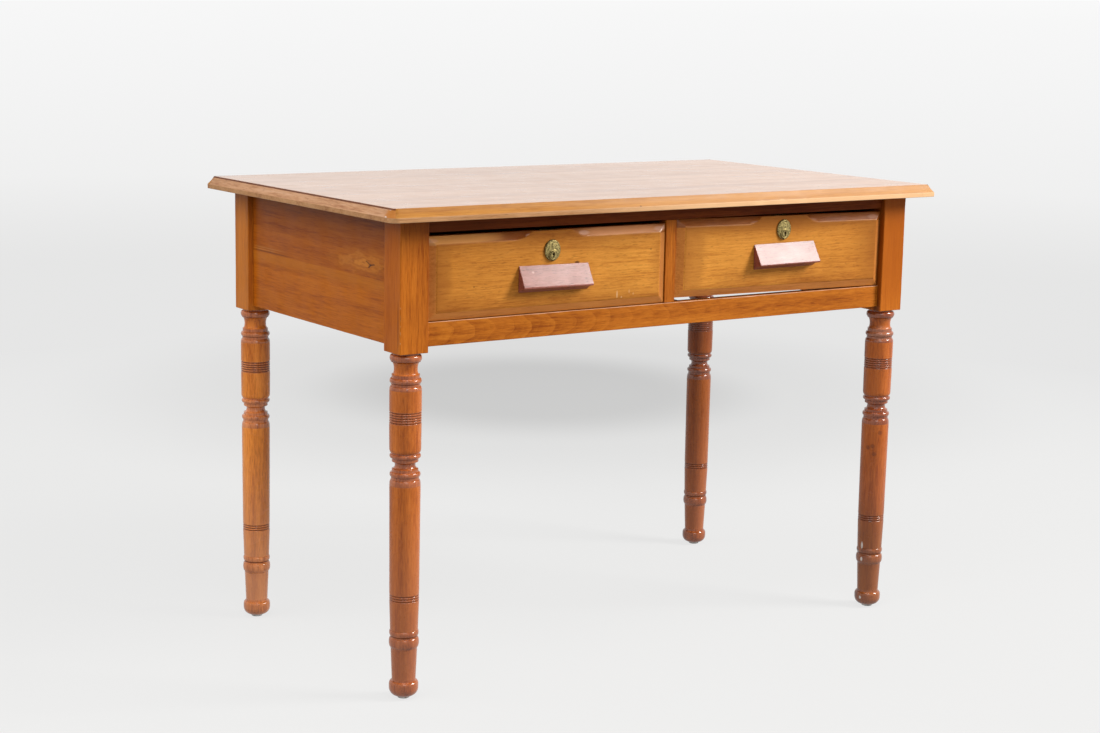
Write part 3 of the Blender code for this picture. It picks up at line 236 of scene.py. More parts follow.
class Surface:
    """A material whose nodes are added one after another. Each call gives back the socket that it makes."""

    def __init__(self, name, **constants):
        self.material = bpy.data.materials.new(name)
        self.material.use_nodes = True
        self.tree = self.material.node_tree
        self.shader = self.tree.nodes["Principled BSDF"]
        for socket, value in constants.items():
            self.shader.inputs[socket.replace("_", " ").title().replace("Ior", "IOR")].default_value = value
        self.place = self.put("ShaderNodeTexCoord", {}, "Object")

    def put(self, kind, inputs, output=0, **settings):
        """Adds a node, sets or links its inputs and gives back one of its outputs."""
        node = self.tree.nodes.new(kind)
        for key, value in settings.items():
            setattr(node, key, value)
        for key, value in inputs.items():
            if isinstance(value, bpy.types.NodeSocket):
                self.tree.links.new(value, node.inputs[key])
            else:
                node.inputs[key].default_value = value
        return node.outputs[output]

    def feed(self, socket, value):
        """Links a socket to one of the shader's inputs."""
        self.tree.links.new(value, self.shader.inputs[socket])

    def math(self, operation, first, second=0.0):
        return self.put("ShaderNodeMath", {0: first, 1: second}, operation=operation)

    def plus(self, first, second):
        return self.math("ADD", first, second)

    def less(self, first, second):
        return self.math("SUBTRACT", first, second)

    def times(self, first, second):
        return self.math("MULTIPLY", first, second)

    def vector(self, operation, first, second=(0.0, 0.0, 0.0), output=0):
        return self.put("ShaderNodeVectorMath", {0: first, 1: second}, output, operation=operation)

    def along(self, axis):
        """The place along one axis."""
        return self.put("ShaderNodeSeparateXYZ", {0: self.place}, axis)

    def scaled(self, vector, scale, shift=(0.0, 0.0, 0.0)):
        return self.put("ShaderNodeMapping", {"Vector": vector, "Scale": scale, "Location": shift})

    def evenly(self, scale, shift=(0.0, 0.0, 0.0)):
        return self.scaled(self.place, (scale, scale, scale), shift)

    def noise(self, vector, scale=1.0, detail=3.0, roughness=0.5, output=0):
        return self.put("ShaderNodeTexNoise", {"Vector": vector, "Scale": scale, "Detail": detail,
                                               "Roughness": roughness}, output)

    def wander(self, scale, reach, detail=3.0):
        """A slow drift to either side, by up to half its reach."""
        return self.times(self.less(self.noise(self.scaled(self.place, scale), detail=detail), 0.5), reach)

    def range(self, value, low, high, to_low=0.0, to_high=1.0, way="LINEAR"):
        return self.put("ShaderNodeMapRange", {0: value, 1: low, 2: high, 3: to_low, 4: to_high},
                        interpolation_type=way)

    def mix(self, share, first, second, blend="MIX"):
        return self.put("ShaderNodeMix", {0: share, 6: first, 7: second}, 2, data_type="RGBA",
                        blend_type=blend)

    def ramp(self, share, stops):
        node = self.tree.nodes.new("ShaderNodeValToRGB")
        self.tree.links.new(share, node.inputs[0])
        elements = node.color_ramp.elements
        while len(elements) < len(stops):
            elements.new(0.5)
        for element, (at, colour) in zip(elements, stops):
            element.position = at
            element.color = (*colour, 1.0)
        return node.outputs[0]

    def bump(self, height, strength, distance):
        return self.put("ShaderNodeBump", {"Height": height, "Strength": strength, "Distance": distance})

    def spot(self, centre, radii, strength=1.0):
        """A soft spot about a point: its strength inside, 0 outside."""
        gap = self.vector("DIVIDE", self.vector("SUBTRACT", self.place, centre), radii)
        gap = self.vector("LENGTH", gap, output="Value")
        return self.range(gap, SPOT_END, SPOT_START, 0.0, strength, "SMOOTHSTEP")


# Layers of a wood's grain: scale across the grain and along it
FIBRES = (430.0, 40.0)
STREAKS = (150.0, 8.0)
GROWTH_BANDS = (34.0, 2.2)
PORES = (560.0, 80.0)
FIBRE_SHARE = 0.42
GRAIN_SPREAD = (0.38, 0.62)
GRAIN_DRIFT = 0.012
GRAIN_DRIFT_SCALE = 3.0
GRAIN_HEIGHT = 0.0006
# How much darker and lighter than its middle tone a wood's grain runs, in each colour
DARK_GRAIN = (0.55, 0.42, 0.36)
LIGHT_GRAIN = (1.27, 1.45, 1.80)
BLOTCH_SCALE = 9.0
BLOTCH_SPREAD = (0.50, 0.75)
BLOTCH_TONE = (0.50, 0.44, 0.40, 1.0)
PORE_SPREAD = (0.60, 0.74)
PORE_TONE = (0.22, 0.16, 0.16, 1.0)
PORE_DEPTH = 0.8
RUBBED_SCALE = 26.0
RUBBED_SPREAD = (0.3, 0.7)


def shade(tone, grain, contrast):
    """A wood's tone in its dark or its light grain."""
    return tuple(value * change ** contrast for value, change in zip(tone, grain))


def wood(name, axis, tone, seed, contrast=1.0, run=1.0, bands=0.35, fine=1.0, flecks=0.25, blotches=0.25,
         figure=None, tint=None, marks=(), shine=(0.36, 0.50), specular=0.12, coat=0.0, coat_roughness=0.2,
         relief=0.10):
    """Wood with its grain along one axis: fibres, growth bands, flecks, an uneven tone and worn polish."""
    surface = Surface(name, coat_weight=coat, coat_roughness=coat_roughness, specular_ior_level=specular)
    shift = (seed * 1.7, seed * 2.3, seed * 3.1)
    drift = surface.noise(surface.evenly(GRAIN_DRIFT_SCALE, shift), detail=2.0, output="Color")
    drift = surface.vector("SUBTRACT", drift, (0.5, 0.5, 0.5))
    drift = surface.put("ShaderNodeVectorMath", {0: drift, "Scale": GRAIN_DRIFT}, operation="SCALE")
    place = surface.vector("ADD", surface.place, drift)

    def stretched(across, along):
        scale = [across, across, across]
        scale[axis] = along / run
        return surface.scaled(place, scale, shift)

    fibre = surface.noise(stretched(*FIBRES), detail=4.0, roughness=0.7)
    streak = surface.noise(stretched(STREAKS[0] * fine, STREAKS[1]), detail=3.0, roughness=0.6)
    band = surface.noise(stretched(GROWTH_BANDS[0] * fine, GROWTH_BANDS[1]), detail=2.0, roughness=0.5)
    grain = surface.plus(surface.times(fibre, FIBRE_SHARE), surface.times(streak, 1.0 - FIBRE_SHARE - bands))
    grain = surface.plus(grain, surface.times(band, bands))
    if figure:
        grain = figure(surface, grain)
    dark = shade(tone, DARK_GRAIN, contrast)
    light = shade(tone, LIGHT_GRAIN, contrast)
    colour = surface.ramp(surface.range(grain, *GRAIN_SPREAD), [(0.0, dark), (0.5, tone), (1.0, light)])
    blotch = surface.noise(surface.evenly(BLOTCH_SCALE, shift))
    blotch = surface.range(blotch, *BLOTCH_SPREAD, 0.0, blotches)
    colour = surface.mix(blotch, colour, BLOTCH_TONE, "MULTIPLY")
    pore = surface.range(surface.noise(stretched(*PORES), detail=1.0), *PORE_SPREAD, 0.0, flecks)
    colour = surface.mix(pore, colour, PORE_TONE, "MULTIPLY")
    if tint:
        colour = tint(surface, colour)
    for centre, radii, mark, strength in marks:
        colour = surface.mix(surface.spot(centre, radii, strength), colour, (*mark, 1.0))
    surface.feed("Base Color", colour)
    rubbed = surface.noise(surface.evenly(RUBBED_SCALE, shift), detail=4.0)
    surface.feed("Roughness", surface.range(rubbed, *RUBBED_SPREAD, *shine))
    height = surface.less(fibre, surface.times(pore, PORE_DEPTH))
    surface.feed("Normal", surface.bump(height, relief, GRAIN_HEIGHT))
    return surface.material


RAIL_MIDDLE = 0.5577
ARCH_PITCH = 0.037
ARCH_BOW = 52.0
ARCH_WANDER = 0.045
ARCH_DEPTH = 0.085
FINE_ARCHES = 2.7
FINE_ARCH_SHARE = 0.35


def arches(surface, grain):
    """Nested arches of growth rings on the rail, strongest on its left half."""
    across = surface.along("X")
    rise = surface.less(surface.along("Z"), RAIL_MIDDLE)
    bow = surface.times(surface.times(rise, rise), ARCH_BOW)
    place = surface.plus(surface.plus(across, bow), surface.wander((18.0, 18.0, 26.0), ARCH_WANDER))
    place = surface.math("DIVIDE", place, ARCH_PITCH)
    coarse = surface.less(surface.math("FRACT", place), 0.5)
    fine = surface.less(surface.math("FRACT", surface.times(place, FINE_ARCHES)), 0.5)
    ring = surface.plus(coarse, surface.times(fine, FINE_ARCH_SHARE))
    patchy = surface.noise(surface.evenly(7.0), detail=1.0)
    share = surface.range(across, -0.05, 0.20, ARCH_DEPTH, ARCH_DEPTH * 0.3)
    share = surface.times(share, surface.range(patchy, 0.38, 0.6, 0.35, 1.0))
    return surface.plus(grain, surface.times(ring, share))


APRON_SEAM = 0.6325
APRON_SEAM_BLUR = 0.0008
APRON_UPPER_TONE = (0.80, 0.76, 0.90, 1.0)
APRON_PALE_BAND = 0.024
APRON_PALE_TONE = (0.46, 0.150, 0.015, 1.0)
KNOT = (-0.491, -0.1677, 0.6520)
KNOT_GLOW = (-0.491, -0.1420, 0.6540)
KNOT_REACH = 0.022
KNOT_RING_PITCH = 0.0085
# The arms of the crack in the knot: how far each runs back and up
KNOT_ARMS = ((0.0125, 0.0045), (-0.0105, 0.0017), (0.0055, -0.0040))
ARM_STEPS = 4
KNOT_WANDER = 0.024
KNOT_TONE = (0.60, 0.210, 0.027, 1.0)
# Darker under the top's overhang: partly darkened wood, partly painted shade
SMOKE_AND_SHADE_RISE = (0.660, 0.728)
SMOKE_AND_SHADE_TONE = (0.52, 0.50, 0.62, 1.0)
# Painted reflection: the top grows paler towards its right end
SHEEN_REACH = (-0.05, 0.45)
SHEEN_TONE = (1.25, 1.32, 1.42, 1.0)


def smoked_and_shaded(surface, colour):
    """Darker under the top's overhang: partly darkened wood, partly painted shade of the overhang."""
    share = surface.range(surface.along("Z"), *SMOKE_AND_SHADE_RISE)
    return surface.mix(share, colour, SMOKE_AND_SHADE_TONE, "MULTIPLY")


def painted_sheen(surface, colour):
    """The top is painted paler towards its right end: a painted reflection of the pale backdrop."""
    share = surface.range(surface.along("X"), *SHEEN_REACH)
    return surface.mix(share, colour, SHEEN_TONE, "MULTIPLY")


def apron_boards(surface, colour):
    """The side apron is glued up from two boards: a darker, redder one over a paler one, with a knot."""
    height = surface.along("Z")
    upper = surface.range(height, APRON_SEAM - APRON_SEAM_BLUR, APRON_SEAM + APRON_SEAM_BLUR)
    colour = surface.mix(upper, colour, APRON_UPPER_TONE, "MULTIPLY")
    pale = surface.range(height, APRON_SEAM - APRON_PALE_BAND, APRON_SEAM - APRON_PALE_BAND * 0.4, 0.0, 0.45)
    pale = surface.times(pale, surface.less(1.0, upper))
    colour = surface.mix(pale, colour, APRON_PALE_TONE)
    swirl = surface.scaled(surface.place, (1.0, 1.0, 1.0), tuple(-value for value in KNOT_GLOW))
    ring = surface.vector("LENGTH", surface.scaled(swirl, (1.0, 0.20, 1.0)), output="Value")
    ring = surface.plus(ring, surface.wander((150.0, 40.0, 150.0), KNOT_WANDER, detail=4.0))
    glow = surface.range(ring, KNOT_REACH, KNOT_REACH * 0.2, 0.0, 0.85)
    turns = surface.math("SINE", surface.times(ring, 2 * math.pi / KNOT_RING_PITCH))
    glow = surface.times(glow, surface.range(turns, -1.0, 1.0, 0.4, 1.0))
    return smoked_and_shaded(surface, surface.mix(glow, colour, KNOT_TONE))


FRONT_DARKER_EDGE = 0.040
FRONT_EDGE_TONE = (0.62, 0.52, 0.46, 1.0)
# Both fronts darken from the middle of the desk outwards
FRONT_OUTER = (0.08, 0.40)
FRONT_INNER_TONE = (1.06, 1.10, 1.14, 1.0)
FRONT_OUTER_TONE = (0.88, 0.83, 0.77, 1.0)


def front_edge_darkening(surface, colour):
    """A drawer front grows browner towards its edges."""
    across = surface.along("X")
    height = surface.along("Z")
    from_zero = surface.math("ABSOLUTE", across)
    from_middle = surface.math("ABSOLUTE", surface.less(from_zero, DRAWER_MIDDLE_X))
    end = surface.less(FRONT_WIDTH / 2, from_middle)
    below = surface.less(DRAWER_BOTTOM + FRONT_HEIGHT, height)
    above = surface.less(height, DRAWER_BOTTOM)
    nearest = surface.math("MINIMUM", end, surface.math("MINIMUM", below, above))
    nearest = surface.plus(nearest, surface.wander((14.0, 14.0, 22.0), FRONT_DARKER_EDGE))
    share = surface.range(nearest, FRONT_DARKER_EDGE, 0.004, 0.0, 0.95)
    colour = surface.mix(share, colour, FRONT_EDGE_TONE, "MULTIPLY")
    evened = surface.mix(surface.range(from_zero, *FRONT_OUTER), FRONT_INNER_TONE, FRONT_OUTER_TONE)
    return surface.mix(1.0, colour, evened, "MULTIPLY")


LEG_DUSTY_RISE = (0.30, 0.06)
LEG_DUSTY_TONE = (0.38, 0.145, 0.085, 1.0)
# How the legs differ: each stretch's centre, its reach and its tone
# Painted light: the back-left leg is painted paler, as light from the left falls on it
LEG_TONES_AND_LIGHT = (((-LEG_X, LEG_Y, 0.15), (0.08, 0.08, 0.36), (1.65, 2.04, 2.25, 1.0)),
             # Painted shade: the back-right leg is painted darker, and darker still at its top
             ((LEG_X, LEG_Y, 0.48), (0.08, 0.08, 0.36), (0.67, 0.64, 0.79, 1.0)),
             ((LEG_X, LEG_Y, 0.50), (0.08, 0.08, 0.14), (0.75, 0.72, 0.85, 1.0)),
             # The front-right leg's own redder tone, and its foot's
             ((LEG_X, -LEG_Y, 0.30), (0.08, 0.08, 0.60), (0.90, 0.86, 1.00, 1.0)),
             ((LEG_X, -LEG_Y, 0.03), (0.08, 0.08, 0.16), (0.80, 0.88, 0.72, 1.0)))


def toned_and_lit(surface, colour):
    """Each leg's own tone, with painted light on the back-left leg and painted shade on the back-right one."""
    for centre, reach, tone in LEG_TONES_AND_LIGHT:
        colour = surface.mix(surface.spot(centre, reach), colour, tone, "MULTIPLY")
    return colour


def leg_tint(surface, colour):
    """A turned leg is orange above and grows duller and pinker towards the foot."""
    dusty = surface.range(surface.along("Z"), *LEG_DUSTY_RISE, 0.0, 0.6)
    return toned_and_lit(surface, surface.mix(dusty, colour, LEG_DUSTY_TONE))


def metal(name, colour, tarnish, roughness, grain, seed, scale=160.0, relief=0.35):
    """A cast metal, darker and duller where it has tarnished."""
    surface = Surface(name, metallic=1.0)
    cloud = surface.noise(surface.evenly(scale, (seed, seed, seed)), detail=5.0, roughness=0.65)
    surface.feed("Base Color", surface.ramp(cloud, [(0.34, tarnish), (0.62, colour)]))
    surface.feed("Roughness", surface.range(cloud, 0.35, 0.65, roughness + 0.16, roughness - 0.06))
    pits = surface.noise(surface.evenly(grain))
    surface.feed("Normal", surface.bump(pits, relief, 0.0004))
    return surface.material


# Marks of wear and of painted light and shade, each as its centre, its radii, its colour and its strength
PALE_WOOD = (0.70, 0.46, 0.24)
WARM_WOOD = (0.46, 0.160, 0.024)
DARK_MARK = (0.04, 0.013, 0.005)
# Pale: old paint in the front-right leg's chips, and painted glints on the top's worn corner
OLD_PAINT_AND_GLINT = (0.80, 0.75, 0.70)
BRUISE = (0.16, 0.040, 0.014)
FRONT_FACE = -FRAME_DEPTH / 2
TOP_FRONT = FRONT_FACE - TOP_OVERHANG
TOP_LEFT = -FRAME_WIDTH / 2 - TOP_OVERHANG
FIELD_MARKS = [((-0.1850, FIELD_Y, 0.6505), (0.0045, 0.0040, 0.0030), (0.10, 0.030, 0.010), 0.85)]
for across, height, length, strength in ((-0.1075, 0.5965, 0.0060, 0.50), (-0.0990, 0.5915, 0.0022, 0.35),
                                         (-0.0840, 0.6000, 0.0030, 0.25), (-0.0760, 0.5960, 0.0020, 0.25)):
    FIELD_MARKS.append(((across, FIELD_Y, height), (0.0016, 0.0040, length), PALE_WOOD, strength))
for across, height in ((-0.3719, 0.6244), (-0.0434, 0.6645), (0.0329, 0.6526)):
    FIELD_MARKS.append(((across, FIELD_Y, height), (0.0013, 0.0040, 0.0013), DARK_MARK, 0.6))
# Darker patches at the drawers' ends, and a painted shade of the top's overhang along the right drawer's top
# edge
SHADE_AND_DARKENING_WOOD = (0.34, 0.115, 0.017)
FIELD_MARKS += [((0.034, FIELD_Y, 0.645), (0.032, 0.02, 0.075), SHADE_AND_DARKENING_WOOD, 0.50),
                ((0.440, FIELD_Y, 0.645), (0.045, 0.02, 0.075), SHADE_AND_DARKENING_WOOD, 0.45),
                ((0.240, FIELD_Y, 0.702), (0.230, 0.02, 0.020), SHADE_AND_DARKENING_WOOD, 0.60),
                ((-0.430, FIELD_Y, 0.640), (0.020, 0.02, 0.075), SHADE_AND_DARKENING_WOOD, 0.35)]
CHAMFER_MARKS = [((across, FIELD_Y, 0.640), (0.014, 0.02, 0.080), (0.34, 0.125, 0.032), 0.6)
                 for across in (-0.0130, 0.4490)]
POST_MARKS = [((-0.5, -0.2650, 0.575), (0.0040, 0.0020, 0.040), DARK_MARK, 0.6)]
for height, length, strength in ((0.601, 0.0018, 0.35), (0.586, 0.0060, 0.50), (0.574, 0.0022, 0.40),
                                 (0.563, 0.0040, 0.50), (0.549, 0.0015, 0.40)):
    POST_MARKS.append(((-0.5, FRONT_FACE, height), (0.0013, 0.0013, length), PALE_WOOD, strength))
# Painted shade on the front-right post's inner face, in the gap beside the right drawer
POST_MARKS.append(((POST_INNER_X, FRONT_FACE + 0.010, 0.630), (0.0040, 0.0100, 0.150), DARK_MARK, 0.85))
POST_MARKS.append(((-0.5, -LEG_Y, 0.620), (0.0060, 0.0300, 0.120), (0.43, 0.096, 0.006), 0.45))
# Painted light: the back-left post is painted paler, as light from the left falls on it
POST_MARKS.append(((-LEG_X, LEG_Y, 0.620), (0.0500, 0.0500, 0.150), (0.74, 0.275, 0.045), 0.25))
POST_MARKS.append(((LEG_X, -LEG_Y, 0.640), (0.0500, 0.0500, 0.120), (0.38, 0.088, 0.004), 0.75))
# Dust and a painted sheen on the front-right leg's barrel top, then chips of old paint on that leg
CHIP_AND_SHEEN_MARKS = [((LEG_X - 0.012, -LEG_Y - 0.016, 0.491), (0.0220, 0.0220, 0.0130), (0.48, 0.22, 0.125), 0.40)]
for across, back, height, length in ((-0.0209, -0.0030, 0.1130, 0.0065), (-0.0213, 0.0065, 0.0990, 0.0018),
                                     (-0.0222, -0.0045, 0.0885, 0.0037), (-0.0217, -0.0050, 0.0187, 0.0028)):
    CHIP_AND_SHEEN_MARKS.append(((LEG_X + across, -LEG_Y + back, height), (0.0022, 0.0022, length), OLD_PAINT_AND_GLINT, 0.85))
LEG_MARKS = list(CHIP_AND_SHEEN_MARKS)
for across, back, height in ((-0.0080, -0.0215, 0.317), (-0.0177, -0.0145, 0.293), (-0.0216, -0.0076, 0.290),
                             (-0.0155, -0.0169, 0.279)):
    LEG_MARKS.append(((LEG_X + across, -LEG_Y + back, height), (0.0040, 0.0040, 0.0040), BRUISE, 0.6))
APRON_MARKS = [((-0.492, 0.170, 0.6410), (0.0100, 0.0600, 0.0011), (0.50, 0.190, 0.040), 0.55),
               ((-0.492, 0.185, 0.6375), (0.0100, 0.0500, 0.0009), (0.52, 0.200, 0.045), 0.55),
               ((-0.492, 0.160, 0.6350), (0.0100, 0.0700, 0.0012), DARK_MARK, 0.45)]
for back, rise in KNOT_ARMS:
    for step in range(ARM_STEPS + 1):
        share = step / ARM_STEPS
        place = (KNOT[0], KNOT[1] + back * share, KNOT[2] + rise * share)
        APRON_MARKS.append((place, (0.0200, 0.0026, 0.0011), DARK_MARK, 0.62))
TOP_FRONT_MARKS = []
for across, height, length, strength in ((0.152, 0.7362, 0.0040, 0.40), (0.193, 0.7368, 0.0055, 0.50),
                                         (0.243, 0.7365, 0.0030, 0.45)):
    TOP_FRONT_MARKS.append(((across, TOP_FRONT, height), (length, 0.0040, 0.0012), PALE_WOOD, strength))
TOP_FRONT_MARKS.append(((0.260, TOP_FRONT + 0.004, 0.742), (0.460, 0.0200, 0.0120), (0.56, 0.30, 0.130), 0.5))
TOP_FRONT_MARKS.append(((-0.0925, TOP_FRONT, 0.7365), (0.0018, 0.0040, 0.0016), DARK_MARK, 0.8))
TOP_BAND_MARKS = [((0.300, TOP_FRONT, 0.733), (0.420, 0.0100, 0.0120), (0.86, 0.54, 0.29), 0.75)]
# The top's worn front-left corner: its warm worn wood, and two painted glints on its chipped arrises
TOP_END_MARKS = [((TOP_LEFT, TOP_FRONT + 0.010, 0.742), (0.0200, 0.0160, 0.0140), WARM_WOOD, 0.9),
                 ((TOP_LEFT, TOP_FRONT + 0.021, 0.7370), (0.0040, 0.0030, 0.0010), OLD_PAINT_AND_GLINT, 0.7),
                 ((TOP_LEFT + 0.008, TOP_FRONT + 0.018, 0.7475), (0.0040, 0.0028, 0.0012), OLD_PAINT_AND_GLINT, 0.6)]
# Painted highlights at the ends of the drawers' scooped chamfers: place across, length and strength
SCOOP_HIGHLIGHTS = ((-0.2700, 0.009, 0.65), (-0.1710, 0.010, 0.60), (-0.0240, 0.012, 0.5),
                 (-0.4450, 0.012, 0.20), (0.1720, 0.012, 0.25), (0.2900, 0.013, 0.25), (0.4300, 0.012, 0.20))
# On the left drawer's top chamfer: a painted sheen on its right part, painted light on its left, painted shade
# between
PAINTED_SCOOP_LIGHT = [((-0.100, FIELD_Y, 0.698), (0.085, 0.02, 0.012), (0.76, 0.34, 0.14), 0.80),
               ((-0.405, FIELD_Y, 0.698), (0.085, 0.02, 0.014), (0.78, 0.365, 0.105), 0.70),
               ((-0.296, FIELD_Y, 0.698), (0.024, 0.02, 0.012), (0.22, 0.060, 0.015), 0.50)]
# Then the painted highlights at the scoops' ends
PAINTED_SCOOP_LIGHT += [((across, FIELD_Y, 0.6962), (length, 0.02, 0.0034), (0.80, 0.49, 0.36), strength)
                for across, length, strength in SCOOP_HIGHLIGHTS]
UPPER_RAIL_MARKS = [((-0.440, FRONT_FACE, 0.719), (0.110, 0.05, 0.05), (0.11, 0.026, 0.006), 0.6)]
PULL_MARKS = [((-0.2703, -0.276, 0.6412), (0.0024, 0.0040, 0.0017), (0.62, 0.38, 0.32), 0.6)]

INNER_TONE = (0.50, 0.33, 0.17)

MATERIALS = {
    "top": wood("Top wood", X, (0.46, 0.240, 0.125), 1.0, contrast=0.6, run=2.5, bands=0.30, blotches=0.1,
                flecks=0.2, shine=(0.26, 0.34), specular=0.5, coat=0.50, coat_roughness=0.16, relief=0.015,
                tint=painted_sheen),
    "top_front": wood("Top edge wood", X, (0.37, 0.146, 0.023), 1.3, contrast=0.9, run=2.0,
                      marks=TOP_FRONT_MARKS),
    "top_end": wood("Top end grain", Y, (0.53, 0.280, 0.146), 1.6, contrast=0.7, bands=0.2,
                    shine=(0.42, 0.58), marks=TOP_END_MARKS),
    "top_band": wood("Top band wood", X, (0.46, 0.232, 0.098), 1.5, contrast=0.7, marks=TOP_BAND_MARKS),
    "quirk": wood("Quirk wood", X, (0.15, 0.046, 0.016), 1.9),
    "post": wood("Post wood", Z, (0.51, 0.140, 0.011), 2.0, contrast=0.85, run=1.5, tint=smoked_and_shaded,
                 marks=POST_MARKS),
    "leg": wood("Leg wood", Z, (0.52, 0.135, 0.0188), 3.0, contrast=0.85, shine=(0.20, 0.32), specular=0.25,
                tint=leg_tint, marks=LEG_MARKS),
    "bead": wood("Bead wood", Z, (0.40, 0.100, 0.022), 3.3, shine=(0.09, 0.16), specular=0.6, tint=toned_and_lit,
                 marks=CHIP_AND_SHEEN_MARKS),
    "groove": wood("Groove wood", Z, (0.22, 0.060, 0.016), 3.6),
    "apron": wood("Side apron wood", Y, (0.47, 0.121, 0.0060), 4.0, contrast=0.75, run=2.0, bands=0.42,
                  tint=apron_boards, marks=APRON_MARKS),
    "back": wood("Back apron wood", X, (0.46, 0.124, 0.009), 4.5, run=2.0),
    "upper_rail": wood("Upper rail wood", X, (0.20, 0.046, 0.0085), 5.0, run=2.0, specular=0.06,
                       marks=UPPER_RAIL_MARKS),
    "rail": wood("Lower rail wood", X, (0.44, 0.124, 0.0095), 6.0, contrast=0.9, figure=arches),
    "divider": wood("Divider wood", Z, (0.43, 0.116, 0.009), 7.0),
    "field": wood("Drawer front wood", X, (0.63, 0.250, 0.037), 8.0, contrast=0.5, run=0.8, bands=0.2,
                  fine=2.2, flecks=0.32, blotches=0.30, tint=front_edge_darkening, marks=FIELD_MARKS),
    "arris": wood("Drawer arris wood", X, (0.66, 0.264, 0.036), 8.5, tint=front_edge_darkening),
    "chamfer": wood("Drawer chamfer wood", X, (0.58, 0.202, 0.036), 9.0, contrast=0.5, flecks=0.1,
                    shine=(0.30, 0.42), specular=0.15, marks=CHAMFER_MARKS),
    "top_chamfer": wood("Drawer top chamfer wood", X, (0.28, 0.080, 0.014), 9.4, shine=(0.14, 0.22),
                        specular=0.3, marks=PAINTED_SCOOP_LIGHT),
    "pull": wood("Pull wood", X, (0.28, 0.084, 0.056), 10.0, contrast=0.7, run=0.6, flecks=0.6,
                 shine=(0.18, 0.27), specular=0.25, marks=PULL_MARKS),
    # Pale arris of the lower rail: partly rubbed wear, partly a painted highlight
    "worn": wood("Worn and highlit arris wood", X, (0.55, 0.29, 0.16), 10.5, contrast=0.7),
    "inner_x": wood("Inner wood across", X, INNER_TONE, 11.0, contrast=0.6, shine=(0.55, 0.75), relief=0.2),
    "inner_y": wood("Inner wood along", Y, INNER_TONE, 12.0, contrast=0.6, shine=(0.55, 0.75), relief=0.2),
    "brass": metal("Old brass", (0.40, 0.31, 0.13), (0.12, 0.092, 0.033), 0.36, 900.0, 1.0),
    "lock_brass": metal("Lock brass", (0.38, 0.30, 0.120), (0.035, 0.026, 0.010), 0.50, 420.0, 2.0,
                        scale=420.0, relief=0.9),
    "steel": metal("Worn steel", (0.36, 0.35, 0.33), (0.12, 0.11, 0.10), 0.36, 600.0, 3.0),
}


# Mesh helpers

def reshape(mesh, change):
    """Makes one change to a mesh."""
    shape = bmesh.new()
    shape.from_mesh(mesh)
    change(shape)
    shape.to_mesh(mesh)
    shape.free()


def make_piece(name, points, faces, materials, indices=None, smooth=40.0):
    """Makes an object from points and faces, with its faces turned outwards and its arrises kept crisp."""
    mesh = bpy.data.meshes.new(name)
    mesh.from_pydata([tuple(point) for point in points], [], faces)
    for material in materials:
        mesh.materials.append(MATERIALS[material])
    if indices:
        mesh.polygons.foreach_set("material_index", indices)
    reshape(mesh, lambda shape: bmesh.ops.recalc_face_normals(shape, faces=shape.faces))
    mesh.shade_smooth()
    mesh.set_sharp_from_angle(angle=math.radians(smooth))
    piece = bpy.data.objects.new(name, mesh)
    LOOKS.objects.link(piece)
    flatten(piece)
    return piece


def flatten(piece):
    """Lets the large faces of a piece keep their own shading, so that only its rounded arrises look round."""
    piece.modifiers.new("flat_faces", "WEIGHTED_NORMAL").keep_sharp = True


def settle(piece, body, slot, *nodes):
    """Puts a piece in the place of its CAD nodes, on their body."""
    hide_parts(*nodes)
    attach(piece, body)


def skin(rings, points, faces):
    """Adds rings of points, joined from one to the next and closed at both ends."""
    starts = []
    for ring in rings:
        starts.append((len(points), len(ring)))
        points.extend(ring)
    for (first, count), (second, other) in zip(starts, starts[1:]):
        for step in range(max(count, other)):
            after = step + 1
            if count == 1:
                faces.append((first, second + after % other, second + step))
            elif other == 1:
                faces.append((first + step, first + after % count, second))
            else:
                faces.append((first + step, first + after % count, second + after % other, second + step))
    for start, count in (starts[0], starts[-1]):
        if count > 2:
            faces.append(tuple(range(start, start + count)))


def skinned(name, rings, materials, indices=None, smooth=40.0):
    """A piece whose surface runs from ring to ring and is closed at both ends."""
    points = []
    faces = []
    skin(rings, points, faces)
    return make_piece(name, points, faces, materials, indices, smooth)


def turn_rings(profile, sides, centre, wobble=0.0, seed=0.0):
    """Turns a profile of (radius, height) points about an upright axis, unevenly where it wobbles."""
    rings = []
    for radius, height in profile:
        if radius < 1e-6:
            rings.append([(centre[0], centre[1], height)])
            continue
        ring = []
        for step in range(sides):
            turn = 2 * math.pi * step / sides
            way = Vector((math.cos(turn), math.sin(turn), 0.0))
            uneven = noise.noise(Vector((way.x * 1.6 + seed, way.y * 1.6, height * 60.0)))
            reach = radius + wobble * uneven
            ring.append((centre[0] + way.x * reach, centre[1] + way.y * reach, height))
        rings.append(ring)
    return rings


